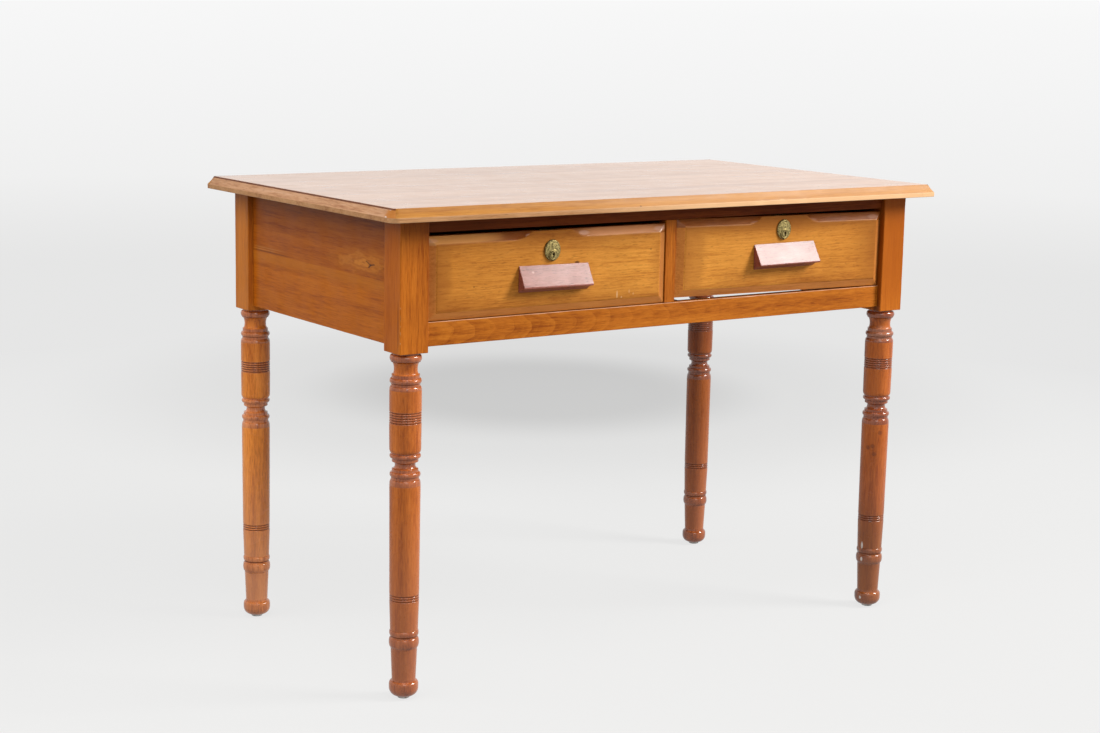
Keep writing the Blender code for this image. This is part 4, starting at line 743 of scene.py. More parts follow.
def board_rings(low, high, axis, easing, seed, chips=()):
    """A board's rings along its grain, rubbed at the arrises. A chip is (place, corner, depth, length)."""
    sides = [side for side in (X, Y, Z) if side != axis]
    middle = [(low[side] + high[side]) / 2 for side in sides]
    half = [(high[side] - low[side]) / 2 for side in sides]
    length = high[axis] - low[axis]
    steps = max(2, round(length / BOARD_STEP))
    places = [(low[axis], END_EASING), (low[axis] + END_EASING, 0.0)]
    places += [(low[axis] + length * step / steps, 0.0) for step in range(1, steps)]
    places += [(high[axis] - END_EASING, 0.0), (high[axis], END_EASING)]
    rings = []
    for place, drawn_in in places:
        ring = []
        for corner, (across, up) in enumerate(((-1, -1), (1, -1), (1, 1), (-1, 1))):
            wear = noise.noise(Vector((place * WEAR_PITCH, seed + 0.37, corner * 5.3)))
            fine = noise.noise(Vector((place * WEAR_PITCH * 5, seed + 4.1, corner * 3.7)))
            round_off = easing * (0.9 + 0.55 * wear + 0.25 * fine)
            for spot, which, depth, reach in chips:
                if which == corner:
                    round_off += depth * math.exp(-((place - spot) / reach) ** 2)
            for step in range(BOARD_ARC_STEPS + 1):
                turn = math.pi * (1 + corner / 2) + math.pi / 2 * step / BOARD_ARC_STEPS
                point = [0.0, 0.0, 0.0]
                point[axis] = place
                inner = [middle[0] + across * (half[0] - round_off - drawn_in),
                         middle[1] + up * (half[1] - round_off - drawn_in)]
                point[sides[0]] = inner[0] + round_off * math.cos(turn)
                point[sides[1]] = inner[1] + round_off * math.sin(turn)
                ring.append(tuple(point))
        rings.append(ring)
    return rings


def make_board(name, low, high, axis, material, slot, seed, easing=BOARD_EASING, highlit_worn_corner=None):
    """A worn board in the place of its name's CAD node, one arris pale if asked: rubbed, and a painted
    highlight.
    """
    rings = board_rings(low, high, axis, easing, seed)
    around = len(rings[0])
    rows = len(rings) - 1
    indices = [0] * (rows * around + 2)
    if highlit_worn_corner is not None:
        first = highlit_worn_corner * (BOARD_ARC_STEPS + 1)
        for row in range(rows):
            for step in range(BOARD_ARC_STEPS):
                indices[row * around + first + step] = 1
    settle(skinned(f"{name}_board", rings, [material, "worn"], indices), "frame", slot, name)


# Turned forms, as lists of (radius, height) points from top to bottom

def bead(top, bottom, root, crown):
    """A round bead between two heights."""
    turns = [math.pi * step / ARC_STEPS for step in range(ARC_STEPS + 1)]
    middle = (top + bottom) / 2
    half = (top - bottom) / 2
    return [(root + (crown - root) * math.sin(turn), middle + half * math.cos(turn)) for turn in turns]


def cove(top, bottom, top_radius, bottom_radius, neck):
    """A hollow between two heights."""
    middle = (top + bottom) / 2
    half = (top - bottom) / 2
    depth = (top_radius + bottom_radius) / 2 - neck
    points = []
    for step in range(ARC_STEPS + 1):
        turn = math.pi * step / ARC_STEPS
        edge = top_radius + (bottom_radius - top_radius) * step / ARC_STEPS
        points.append((edge - depth * math.sin(turn), middle + half * math.cos(turn)))
    return points


def shoulder(top, bottom, inner, outer):
    """A rounded shoulder that falls from the inner radius to the outer one."""
    points = []
    for step in range(ARC_STEPS + 1):
        turn = math.pi / 2 * step / ARC_STEPS
        points.append((inner + (outer - inner) * math.sin(turn), top - (top - bottom) * (1 - math.cos(turn))))
    return points


def reeds(middle, grooves, radius):
    """A band of fine grooves, turned side by side."""
    points = []
    first = middle + REED_PITCH * grooves / 2
    for count in range(grooves):
        for share, depth in ((0.0, 0.0), (0.22, 0.15), (0.34, 0.85), (0.5, 1.0), (0.66, 0.85), (0.78, 0.15)):
            points.append((radius - REED_DEPTH * depth, first - REED_PITCH * (count + share)))
    points.append((radius, first - REED_PITCH * grooves))
    return points


def between(start, end, steps):
    """Points on the way from one to another, without the ends."""
    return [tuple(a + (b - a) * step / steps for a, b in zip(start, end)) for step in range(1, steps)]


def leg_profile(raised):
    """A leg's turning from post to foot, its reeds raised a little: (radius, height, surface) points."""
    points = []

    def add(kind, forms):
        for radius, height in forms:
            if not points or math.dist((radius, height), points[-1][:2]) > 1e-5:
                points.append((radius, height, kind))

    def dropped(form, top, bottom, *radii):
        return form(POST_BOTTOM - top, POST_BOTTOM - bottom, *radii)

    def band(top, bottom, radius):
        return [(radius, top), (radius, bottom)]

    def add_reeds(grooves):
        add("leg", grooves[:1])
        for radius, height in grooves[1:]:
            add("groove" if grooves[0][0] - radius > REED_DEPTH * 0.5 else "bead", [(radius, height)])

    add("bead", [(0.0, POST_BOTTOM + TURNING_LAP), (CAP_BEAD[2], POST_BOTTOM + TURNING_LAP)])
    add("bead", dropped(bead, *CAP_BEAD))
    add("leg", dropped(cove, *UPPER_COVE))
    add("bead", dropped(band, *UPPER_FILLET))
    add("bead", dropped(bead, *UPPER_BEAD))
    add("bead", dropped(band, *UPPER_GROOVE))
    add("bead", dropped(shoulder, BARREL_TOP, BARREL_TOP + BARREL_SHOULDER, UPPER_GROOVE[2], BARREL_RADIUS))
    add_reeds(reeds(POST_BOTTOM - BARREL_REEDS_DROP + raised, BARREL_REED_GROOVES, BARREL_RADIUS))
    foot = shoulder(BARREL_SHOULDER, 0.0, WAIST_BEAD[2], BARREL_FOOT_RADIUS)
    foot = [(radius, POST_BOTTOM - BARREL_BOTTOM + BARREL_SHOULDER - rise) for radius, rise in reversed(foot)]
    add("leg", foot)
    add("bead", dropped(bead, *WAIST_BEAD))
    add("bead", dropped(band, *WAIST_FILLET))
    add("bead", dropped(cove, *WAIST_COVE))
    add("bead", dropped(band, *WAIST_STEP))
    add("bead", dropped(bead, *WAIST_RING))
    add("bead", dropped(band, *WAIST_GROOVE))
    add("bead", dropped(shoulder, SHAFT_TOP, SHAFT_TOP + SHAFT_SHOULDER, WAIST_GROOVE[2], SHAFT_RADIUS))
    grooves = reeds(SHAFT_REEDS_RISE + raised, SHAFT_REED_GROOVES, SHAFT_REEDS_RADIUS)
    add("leg", between(points[-1][:2], grooves[0], 12))
    add_reeds(grooves)
    add("leg", between(points[-1][:2], (SHAFT_FOOT_RADIUS, SHAFT_FOOT_RISE), 5))
    add("leg", [(SHAFT_FOOT_RADIUS, SHAFT_FOOT_RISE)])
    add("bead", bead(*ANKLE_BEAD))
    add("groove", [(ANKLE_GROOVE_RADIUS, (ANKLE_BEAD[1] + ANKLE_RING[0]) / 2)])
    add("bead", bead(*ANKLE_RING))
    add("bead", [(ANKLE_RADIUS, ANKLE_FILLET_RISE)])
    add("leg", between(points[-1][:2], (ANKLE_LOW_RADIUS, ANKLE_LOW_RISE), 5))
    add("leg", [(ANKLE_LOW_RADIUS, ANKLE_LOW_RISE)])
    add("bead", shoulder(FOOT_NECK_RISE, FOOT_SHOULDER_RISE, FOOT_NECK_RADIUS, FOOT_RADIUS))
    for step in range(ARC_STEPS + 1):
        turn = math.pi / 2 * step / ARC_STEPS
        radius = FOOT_FLAT_RADIUS + (FOOT_RADIUS - FOOT_FLAT_RADIUS) * math.cos(turn)
        add("bead", [(radius, FOOT_CROWN_RISE - (FOOT_CROWN_RISE - GLIDE_HEIGHT) * math.sin(turn))])
    add("bead", [(0.0, GLIDE_HEIGHT)])
    return points


def make_legs():
    """Four legs, each a worn post over its turning, with a metal glide under the foot."""
    half = POST_SIDE / 2
    for side, side_name in ((-1, "left"), (1, "right")):
        for end, end_name in ((-1, "front"), (1, "back")):
            name = f"leg_{end_name}_{side_name}"
            profile = leg_profile(RAISED_REEDS.get(name, 0.0))
            centre = (side * LEG_X, end * LEG_Y)
            seed = side * 2.0 + end * 5.0
            points = []
            faces = []
            low = (centre[0] - half, centre[1] - half, POST_BOTTOM)
            high = (centre[0] + half, centre[1] + half, UNDERSIDE - SEAT_GAP)
            skin(board_rings(low, high, Z, POST_EASING, seed, POST_CHIPS.get(name, ())), points, faces)
            post_faces = len(faces)
            turning = [(radius, height) for radius, height, _ in profile]
            skin(turn_rings(turning, LEG_SIDES, centre, TURNING_WOBBLE, seed), points, faces)
            woods = ["post", "leg", "bead", "groove"]
            indices = [0] * post_faces
            for _, _, kind in profile[1:]:
                indices += [woods.index(kind)] * LEG_SIDES
            leg = make_piece(f"{name}_turned", points, faces, woods, indices)
            settle(leg, "frame", "post_wood", name)
            make_glide(f"glide_{end_name}_{side_name}", centre)


def make_glide(name, centre):
    """A domed disc with a nail, driven up into the foot."""
    seat = GLIDE_HEIGHT - SEAT_GAP
    profile = [(0.0, GLIDE_HEIGHT + GLIDE_NAIL_LENGTH), (GLIDE_NAIL_RADIUS, GLIDE_HEIGHT + GLIDE_NAIL_LENGTH),
               (GLIDE_NAIL_RADIUS, seat), (GLIDE_RADIUS * 0.97, seat), (GLIDE_RADIUS, seat * 0.8),
               (GLIDE_RADIUS, GLIDE_EDGE), (GLIDE_RADIUS * 0.93, GLIDE_EDGE * 0.45), (GLIDE_FLAT_RADIUS, 0.0),
               (0.0, 0.0)]
    disc = skinned(f"{name}_disc", turn_rings(profile, GLIDE_SIDES, centre), ["steel"])
    settle(disc, "frame", "steel", name)


# Top

TOP_STEP = 0.008
TOP_SLOPE_STEPS = 8
TOP_ARRIS = 0.0006
TOP_CORNER_STEPS = 8
TOP_WEAR = 0.00016
TOP_CHIP_HEIGHT = 0.004
# Chips in the top's moulded edge: where along X on the front edge, how deep and how long
TOP_CHIPS = ((0.150, 0.0011, 0.006), (0.194, 0.0009, 0.005), (0.241, 0.0011, 0.006), (-0.31, 0.0006, 0.005),
             (0.455, 0.0008, 0.005))


def top_edge():
    """Points round the slab with the way that each is drawn in, and whether it lies on the front edge."""
    half_width = FRAME_WIDTH / 2 + TOP_OVERHANG
    half_depth = FRAME_DEPTH / 2 + TOP_OVERHANG
    worn = TOP_WORN_CORNER
    edge = []

    def run(start, end, way):
        steps = round(math.dist(start, end) / TOP_STEP)
        for step in range(1, steps):
            share = step / steps
            edge.append((tuple(a + (b - a) * share for a, b in zip(start, end)), way))

    centre = (-half_width + worn, -half_depth + worn)
    for step in range(TOP_CORNER_STEPS + 1):
        turn = math.pi + math.pi / 2 * step / TOP_CORNER_STEPS
        way = (math.cos(turn), math.sin(turn))
        edge.append(((centre[0] + worn * way[0], centre[1] + worn * way[1]), (-way[0], -way[1])))
    run((centre[0], -half_depth), (half_width, -half_depth), (0.0, 1.0))
    edge.append(((half_width, -half_depth), (-1.0, 1.0)))
    run((half_width, -half_depth), (half_width, half_depth), (-1.0, 0.0))
    edge.append(((half_width, half_depth), (-1.0, -1.0)))
    run((half_width, half_depth), (-half_width, half_depth), (0.0, -1.0))
    edge.append(((-half_width, half_depth), (1.0, -1.0)))
    run((-half_width, half_depth), (-half_width, centre[1]), (1.0, 0.0))
    return edge


def make_top():
    """The slab: an upright band, a hollowed slope and a quirk round a flat top, rubbed and chipped."""
    band_top = UNDERSIDE + TOP_BAND
    slope_top = DESK_HEIGHT - TOP_QUIRK
    quirk_bottom = slope_top - (slope_top - band_top) * 1.2 / TOP_SLOPE_STEPS
    flat_edge = TOP_SLOPE_INSET + TOP_QUIRK
    profile = [(TOP_ARRIS, UNDERSIDE), (0.0, UNDERSIDE + TOP_ARRIS), (0.0, band_top - TOP_ARRIS),
               (TOP_ARRIS * 0.3, band_top - TOP_ARRIS * 0.3)]
    for step in range(1, TOP_SLOPE_STEPS + 1):
        share = step / TOP_SLOPE_STEPS
        inset = TOP_SLOPE_INSET * share + TOP_SLOPE_HOLLOW * math.sin(math.pi * share)
        profile.append((inset, band_top + (slope_top - band_top) * share))
    profile += [(flat_edge, slope_top), (flat_edge + TOP_QUIRK / 3, DESK_HEIGHT - TOP_QUIRK / 3),
                (flat_edge + TOP_QUIRK, DESK_HEIGHT)]
    rings = []
    for inset, height in profile:
        ring = []
        for (across, along), way in top_edge():
            wear = noise.noise(Vector((across * 45.0, along * 45.0, height * 120.0)))
            drawn = inset + TOP_WEAR * (1.0 + wear)
            if along < TOP_FRONT + 0.001 and height > UNDERSIDE + TOP_ARRIS:
                for spot, depth, reach in TOP_CHIPS:
                    nearness = math.exp(-((across - spot) / reach) ** 2)
                    drawn += depth * nearness * math.exp(-((height - band_top) / TOP_CHIP_HEIGHT) ** 2)
            ring.append((across + way[0] * drawn, along + way[1] * drawn, height))
        rings.append(ring)
    woods = ["top", "top_front", "top_end", "top_band", "quirk"]
    indices = []
    for (_, height), (inset, _) in zip(profile, profile[1:]):
        for _, way in top_edge():
            if height < band_top - TOP_ARRIS / 2:
                kind = "top_band"
            elif height < quirk_bottom:
                kind = "top_front" if abs(way[1]) >= abs(way[0]) else "top_end"
            else:
                edge_wood = "top_front" if abs(way[1]) > abs(way[0]) else "quirk"
                kind = edge_wood if inset < flat_edge + TOP_QUIRK else "top"
            indices.append(woods.index(kind))
    indices += [woods.index("top")] * 2
    slab = skinned("desk_top_slab", rings, woods, indices, smooth=20.0)
    settle(slab, "frame", "top_wood", "desk_top")


# Frame boards

FRONT_TOP_CORNER = 3
DIVIDER_EASING = 0.0007


def make_frame_boards():
    """The aprons, rails and divider, as their faces show between the posts."""
    reach_y = POST_INNER_Y - SEAT_GAP
    reach_x = POST_INNER_X - SEAT_GAP
    for side in ("left", "right"):
        low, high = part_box(f"side_apron_{side}")
        make_board(f"side_apron_{side}", (low.x, -reach_y, low.z), (high.x, reach_y, high.z), Y, "apron",
                   "apron_wood", 21.0)
    boards = (("back_apron", "back", "apron_wood", 22.0, None),
              ("lower_front_rail", "rail", "rail_wood", 23.0, FRONT_TOP_CORNER))
    for name, wood_name, slot, seed, worn in boards:
        low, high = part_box(name)
        make_board(name, (-reach_x, low.y, low.z), (reach_x, high.y, high.z), X, wood_name, slot, seed,
                   highlit_worn_corner=worn)
    low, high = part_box("centre_divider")
    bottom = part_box("lower_front_rail")[1].z + SEAT_GAP
    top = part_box("upper_front_rail")[0].z - SEAT_GAP
    make_board("centre_divider", (low.x, low.y, bottom), (high.x, high.y, top), Z, "divider", "rail_wood",
               24.0, easing=DIVIDER_EASING)


# Drawers

def drawer_matrix(side):
    """From a drawer front's own axes to the desk's: its origin is at its bottom middle, in its field."""
    lift = DRAWERS[side]["lift"]
    roll = math.asin(lift / FRONT_WIDTH)
    middle = -DRAWER_MIDDLE_X if side == "left" else DRAWER_MIDDLE_X
    place = (middle - math.sin(roll) * FRONT_HEIGHT / 2, FIELD_Y, DRAWER_BOTTOM + lift / 2)
    return Matrix.Translation(place) @ Matrix.Rotation(roll, 4, "Y")


FRONT_SLAB_BACK = 0.0074
ARRIS_BLEND = 0.0010
SCOOP_BLEND = 0.0024
SCOOP_STEEPNESS = 0.95
FRONT_UNEVENNESS = 0.00010
ARRIS_START = 0.0004
CHAMFER_START = 0.0009
# Grid lines of a drawer front: fine across and up, coarse, and how far the fine ones reach past a form
GRID_ACROSS = 0.0011
GRID_UP = 0.0009
GRID_COARSE = 0.010
GRID_MARGIN = 0.002
SCOOP_MARGIN = 0.004
FLAT_MARGIN = 0.012
HOLE_REACH = (-0.02, 0.03)
CUT_MARGIN = 0.01
WELD_DISTANCE = 1e-6


def smooth_max(first, second, blend):
    """The larger of two numbers, rounded where they are close."""
    near = max(blend - abs(first - second), 0.0) / blend
    return max(first, second) + near * near * blend / 4


def smooth_min(first, second, blend):
    return -smooth_max(-first, -second, blend)


def front_depth(across, height, flat):
    """How far a drawer front's surface lies behind its field, with the top chamfer scooped at its ends."""
    half = FRONT_WIDTH / 2
    ends = CHAMFER_DEPTH * (1 - (half - abs(across)) / CHAMFER_END_WIDTH)
    bottom = CHAMFER_DEPTH * (1 - height / CHAMFER_WIDTH)
    slope_length = math.hypot(CHAMFER_WIDTH, CHAMFER_DEPTH)
    up_slope = (height - FRONT_HEIGHT + CHAMFER_WIDTH) / CHAMFER_WIDTH * slope_length
    rise = slope_length + RUNOUT_DIP
    radius = (RUNOUT_LENGTH ** 2 + rise ** 2) / (2 * rise)
    start = flat / 2 + RUNOUT_LENGTH
    inside = up_slope + RUNOUT_DIP
    if abs(across) < start:
        inside = radius - math.hypot(abs(across) - start, up_slope + RUNOUT_DIP - radius)
        if abs(across) < flat / 2 - RUNOUT_LENGTH:
            inside = -1.0
    top = smooth_min(CHAMFER_DEPTH * up_slope / slope_length, inside * SCOOP_STEEPNESS, SCOOP_BLEND)
    depth = smooth_max(0.0, ends, ARRIS_BLEND)
    depth = smooth_max(depth, bottom, ARRIS_BLEND)
    return smooth_max(depth, top, ARRIS_BLEND)


def spaced(marks, fine, coarse):
    """Grid lines between the first and last mark: fine in the spans that are marked so, coarse elsewhere."""
    lines = [marks[0][0]]
    for (start, kind), (end, _) in zip(marks, marks[1:]):
        steps = max(1, round((end - start) / (fine if kind == "fine" else coarse)))
        lines += [start + (end - start) * step / steps for step in range(1, steps + 1)]
    return lines


def applied(piece):
    """The piece's mesh with its modifiers worked in."""
    graph = bpy.context.evaluated_depsgraph_get()
    return bpy.data.meshes.new_from_object(piece.evaluated_get(graph))


def cut_away(piece, tool, operation="DIFFERENCE"):
    """Cuts a helper out of a piece for good, and takes the helper away."""
    modifier = piece.modifiers.new("cut", "BOOLEAN")
    modifier.operation = operation
    modifier.solver = "EXACT"
    modifier.object = tool
    mesh = applied(piece)
    piece.modifiers.clear()
    old = piece.data
    piece.data = mesh
    bpy.data.meshes.remove(old)
    bpy.data.objects.remove(tool, do_unlink=True)
    flatten(piece)


def lock_oval(side, inset, count=64):
    """The lock face's oval on a drawer front, drawn in by an inset, as (x, z) points."""
    middle_x = DRAWERS[side]["lock_shift"]
    middle_z = FRONT_HEIGHT - DRAWERS[side]["lock_drop"]
    wide = LOCK_FACE_WIDTH / 2 - inset
    tall = LOCK_FACE_HEIGHT / 2 - inset
    turns = [2 * math.pi * step / count for step in range(count)]
    return [(middle_x + wide * math.cos(turn), middle_z + tall * math.sin(turn)) for turn in turns]


def extruded(matrix, outline, depths):
    """An outline of (x, z) points at each of several depths, as rings."""
    return [[matrix @ Vector((across, depth, height)) for across, height in outline] for depth in depths]


def make_front(side):
    """The drawer front: a chamfered and scooped face over the solid's own back, with its sockets."""
    flat = DRAWERS[side]["flat"]
    matrix = drawer_matrix(side)
    half = FRONT_WIDTH / 2
    end_line = half - CHAMFER_END_WIDTH - GRID_MARGIN
    scoop = flat / 2 + RUNOUT_LENGTH + SCOOP_MARGIN
    flat_line = flat / 2 - FLAT_MARGIN
    top_line = FRONT_HEIGHT - CHAMFER_WIDTH - 1.5 * GRID_MARGIN
    lines_x = spaced([(-half, "fine"), (-end_line, "coarse"), (-scoop, "fine"), (-flat_line, "coarse"),
                      (flat_line, "fine"), (scoop, "coarse"), (end_line, "fine"), (half, "fine")],
                     GRID_ACROSS, GRID_COARSE)
    lines_z = spaced([(0.0, "fine"), (CHAMFER_WIDTH + GRID_MARGIN, "coarse"), (top_line, "fine"),
                      (FRONT_HEIGHT, "fine")], GRID_UP, GRID_COARSE)
    points = []
    depths = []
    for height in lines_z:
        for across in lines_x:
            depth = front_depth(across, height, flat)
            uneven = noise.noise(Vector((across * 22.0, height * 30.0, 3.0 if side == "left" else 9.0)))
            depth = min(depth + FRONT_UNEVENNESS * (1 + uneven), FRONT_SLAB_BACK - 0.0002)
            depths.append(depth)
            points.append((across, depth, height))
    count = len(lines_x)
    woods = ["field", "chamfer", "top_chamfer", "arris"]
    faces = []
    indices = []
    for row in range(len(lines_z) - 1):
        for column in range(count - 1):
            corners = (row * count + column, row * count + column + 1, (row + 1) * count + column + 1,
                       (row + 1) * count + column)
            faces.append(corners)
            sunk = sum(depths[corner] for corner in corners) / 4
            on_top = sum(points[corner][2] for corner in corners) / 4 > FRONT_HEIGHT - CHAMFER_WIDTH
            if sunk < ARRIS_START:
                kind = "field"
            elif sunk < CHAMFER_START:
                kind = "arris"
            else:
                kind = "top_chamfer" if on_top else "chamfer"
            indices.append(woods.index(kind))
    rim = list(range(count))
    rim += [row * count + count - 1 for row in range(1, len(lines_z))]
    rim += [(len(lines_z) - 1) * count + column for column in range(count - 2, -1, -1)]
    rim += [row * count for row in range(len(lines_z) - 2, 0, -1)]
    behind = len(points)
    points += [(points[corner][0], FRONT_SLAB_BACK, points[corner][2]) for corner in rim]
    for step in range(len(rim)):
        after = (step + 1) % len(rim)
        faces.append((rim[step], rim[after], behind + after, behind + step))
        indices.append(1)
    faces.append(tuple(range(behind, behind + len(rim))))
    indices.append(1)
    points = [matrix @ Vector(point) for point in points]
    slab = make_piece(f"{side}_drawer_front_face", points, faces, woods, indices, smooth=50.0)

    oval = lock_oval(side, LOCK_BODY_STEP - SEAT_GAP)
    cut_away(slab, skinned("hole", extruded(matrix, oval, HOLE_REACH), ["chamfer"]))

    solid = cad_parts[f"{side}_drawer_front"]
    back = bpy.data.objects.new(f"{side}_drawer_front_back", solid.data.copy())
    LOOKS.objects.link(back)
    reshape(back.data, lambda shape: bmesh.ops.remove_doubles(shape, verts=shape.verts, dist=WELD_DISTANCE))
    wide = half + CUT_MARGIN
    high = FRONT_HEIGHT + CUT_MARGIN
    corners = ((-wide, -CUT_MARGIN), (wide, -CUT_MARGIN), (wide, high), (-wide, high))
    keep = extruded(matrix, corners, (FRONT_SLAB_BACK, FRONT_THICKNESS + CUT_MARGIN))
    cut_away(back, skinned("keep", keep, ["chamfer"]), "INTERSECT")
    back.data.materials.clear()
    back.data.materials.append(MATERIALS["chamfer"])
    for polygon in back.data.polygons:
        polygon.material_index = 0
    settle(slab, f"{side}_drawer", "drawer_front_wood", f"{side}_drawer_front")
    settle(back, f"{side}_drawer", "drawer_front_wood", f"{side}_drawer_front")


def make_pull(side):
    """A wedge-shaped pull: a long slope down to a lip, and a hollow under the lip for the fingers."""
    sizes = DRAWERS[side]
    slope = sizes["pull_slope"]
    reach = sizes["pull_projection"]
    foot = slope + PULL_LIP + PULL_BELOW_LIP
    outline = [(-SEAT_GAP, 0.0), (-reach, -slope), (-reach, -slope - PULL_LIP)]
    for step in range(1, PULL_HOLLOW_STEPS):
        share = step / PULL_HOLLOW_STEPS
        rise = PULL_HOLLOW * math.sin(math.pi * share)
        outline.append((-reach * (1 - share), -slope - PULL_LIP - PULL_BELOW_LIP * share + rise))
    outline.append((-SEAT_GAP, -foot))
    place = Matrix.Translation((sizes["pull_shift"], 0.0, FRONT_HEIGHT - sizes["pull_drop"]))
    matrix = drawer_matrix(side) @ place @ Matrix.Rotation(sizes["pull_skew"], 4, "Y")
    rings = [[matrix @ Vector((across, depth, height)) for depth, height in outline]
             for across in (-PULL_WIDTH / 2, PULL_WIDTH / 2)]
    pull = skinned(f"{side}_drawer_pull_wedge", rings, ["pull"])

    def ease(shape):
        sharp = [edge for edge in shape.edges if edge.calc_face_angle() > math.radians(40)]
        bmesh.ops.bevel(shape, geom=sharp, offset=PULL_EASING, segments=3, profile=0.5, affect="EDGES")

    reshape(pull.data, ease)
    pull.data.shade_smooth()
    pull.data.set_sharp_from_angle(angle=math.radians(35))
    settle(pull, f"{side}_drawer", "pull_wood", f"{side}_drawer_pull")


LOCK_ANGLES = 112
LOCK_RINGS = 26
LOCK_RIM = 0.0012
LOCK_LOBES = 26
LOCK_CHASING = 0.00030
LOCK_RIM_BEAD = 0.0005
BEZEL_MIDDLE = 0.0071
BEZEL_HALF = 0.0011
CHASING_FADE = 0.001
PLUG_SIDES = 48
PIN_SIDES = 24
KEYWAY_START = -0.02
KEYWAY_DEPTH = 0.006
# The right half of the keyhole, from its foot up, as (x, z) points from the plug's axis
KEYHOLE = ((0.0011, -0.0038), (0.0007, -0.0006), (0.0014, 0.0002), (0.0019, 0.0014), (0.0016, 0.0026),
           (0.0008, 0.0034))


def lock_height(across, up, axis_up):
    """How proud the lock's face stands at a point, counted from the middle of its oval."""
    from_middle = math.hypot(across / (LOCK_FACE_WIDTH / 2), up / (LOCK_FACE_HEIGHT / 2))
    dome = LOCK_RIM + (LOCK_FACE_PROUD - LOCK_RIM) * math.sqrt(max(0.0, 1 - from_middle ** 2 * 0.98))
    rim = LOCK_RIM_BEAD * math.exp(-((from_middle - 0.90) / 0.05) ** 2)
    turn = math.atan2(up, across)
    ring = math.exp(-((from_middle - 0.70) / 0.13) ** 2)
    chasing = LOCK_CHASING * ring * math.cos(LOCK_LOBES * turn)
    from_axis = math.hypot(across, up - axis_up)
    if from_axis < LOCK_BEZEL_RADIUS:
        round_off = max(0.0, 1 - ((from_axis - BEZEL_MIDDLE) / BEZEL_HALF) ** 2)
        return LOCK_FACE_PROUD + LOCK_BEZEL_PROUD * math.sqrt(round_off)
    fade = min(1.0, (from_axis - LOCK_BEZEL_RADIUS) / CHASING_FADE)
    return dome + rim + chasing * fade


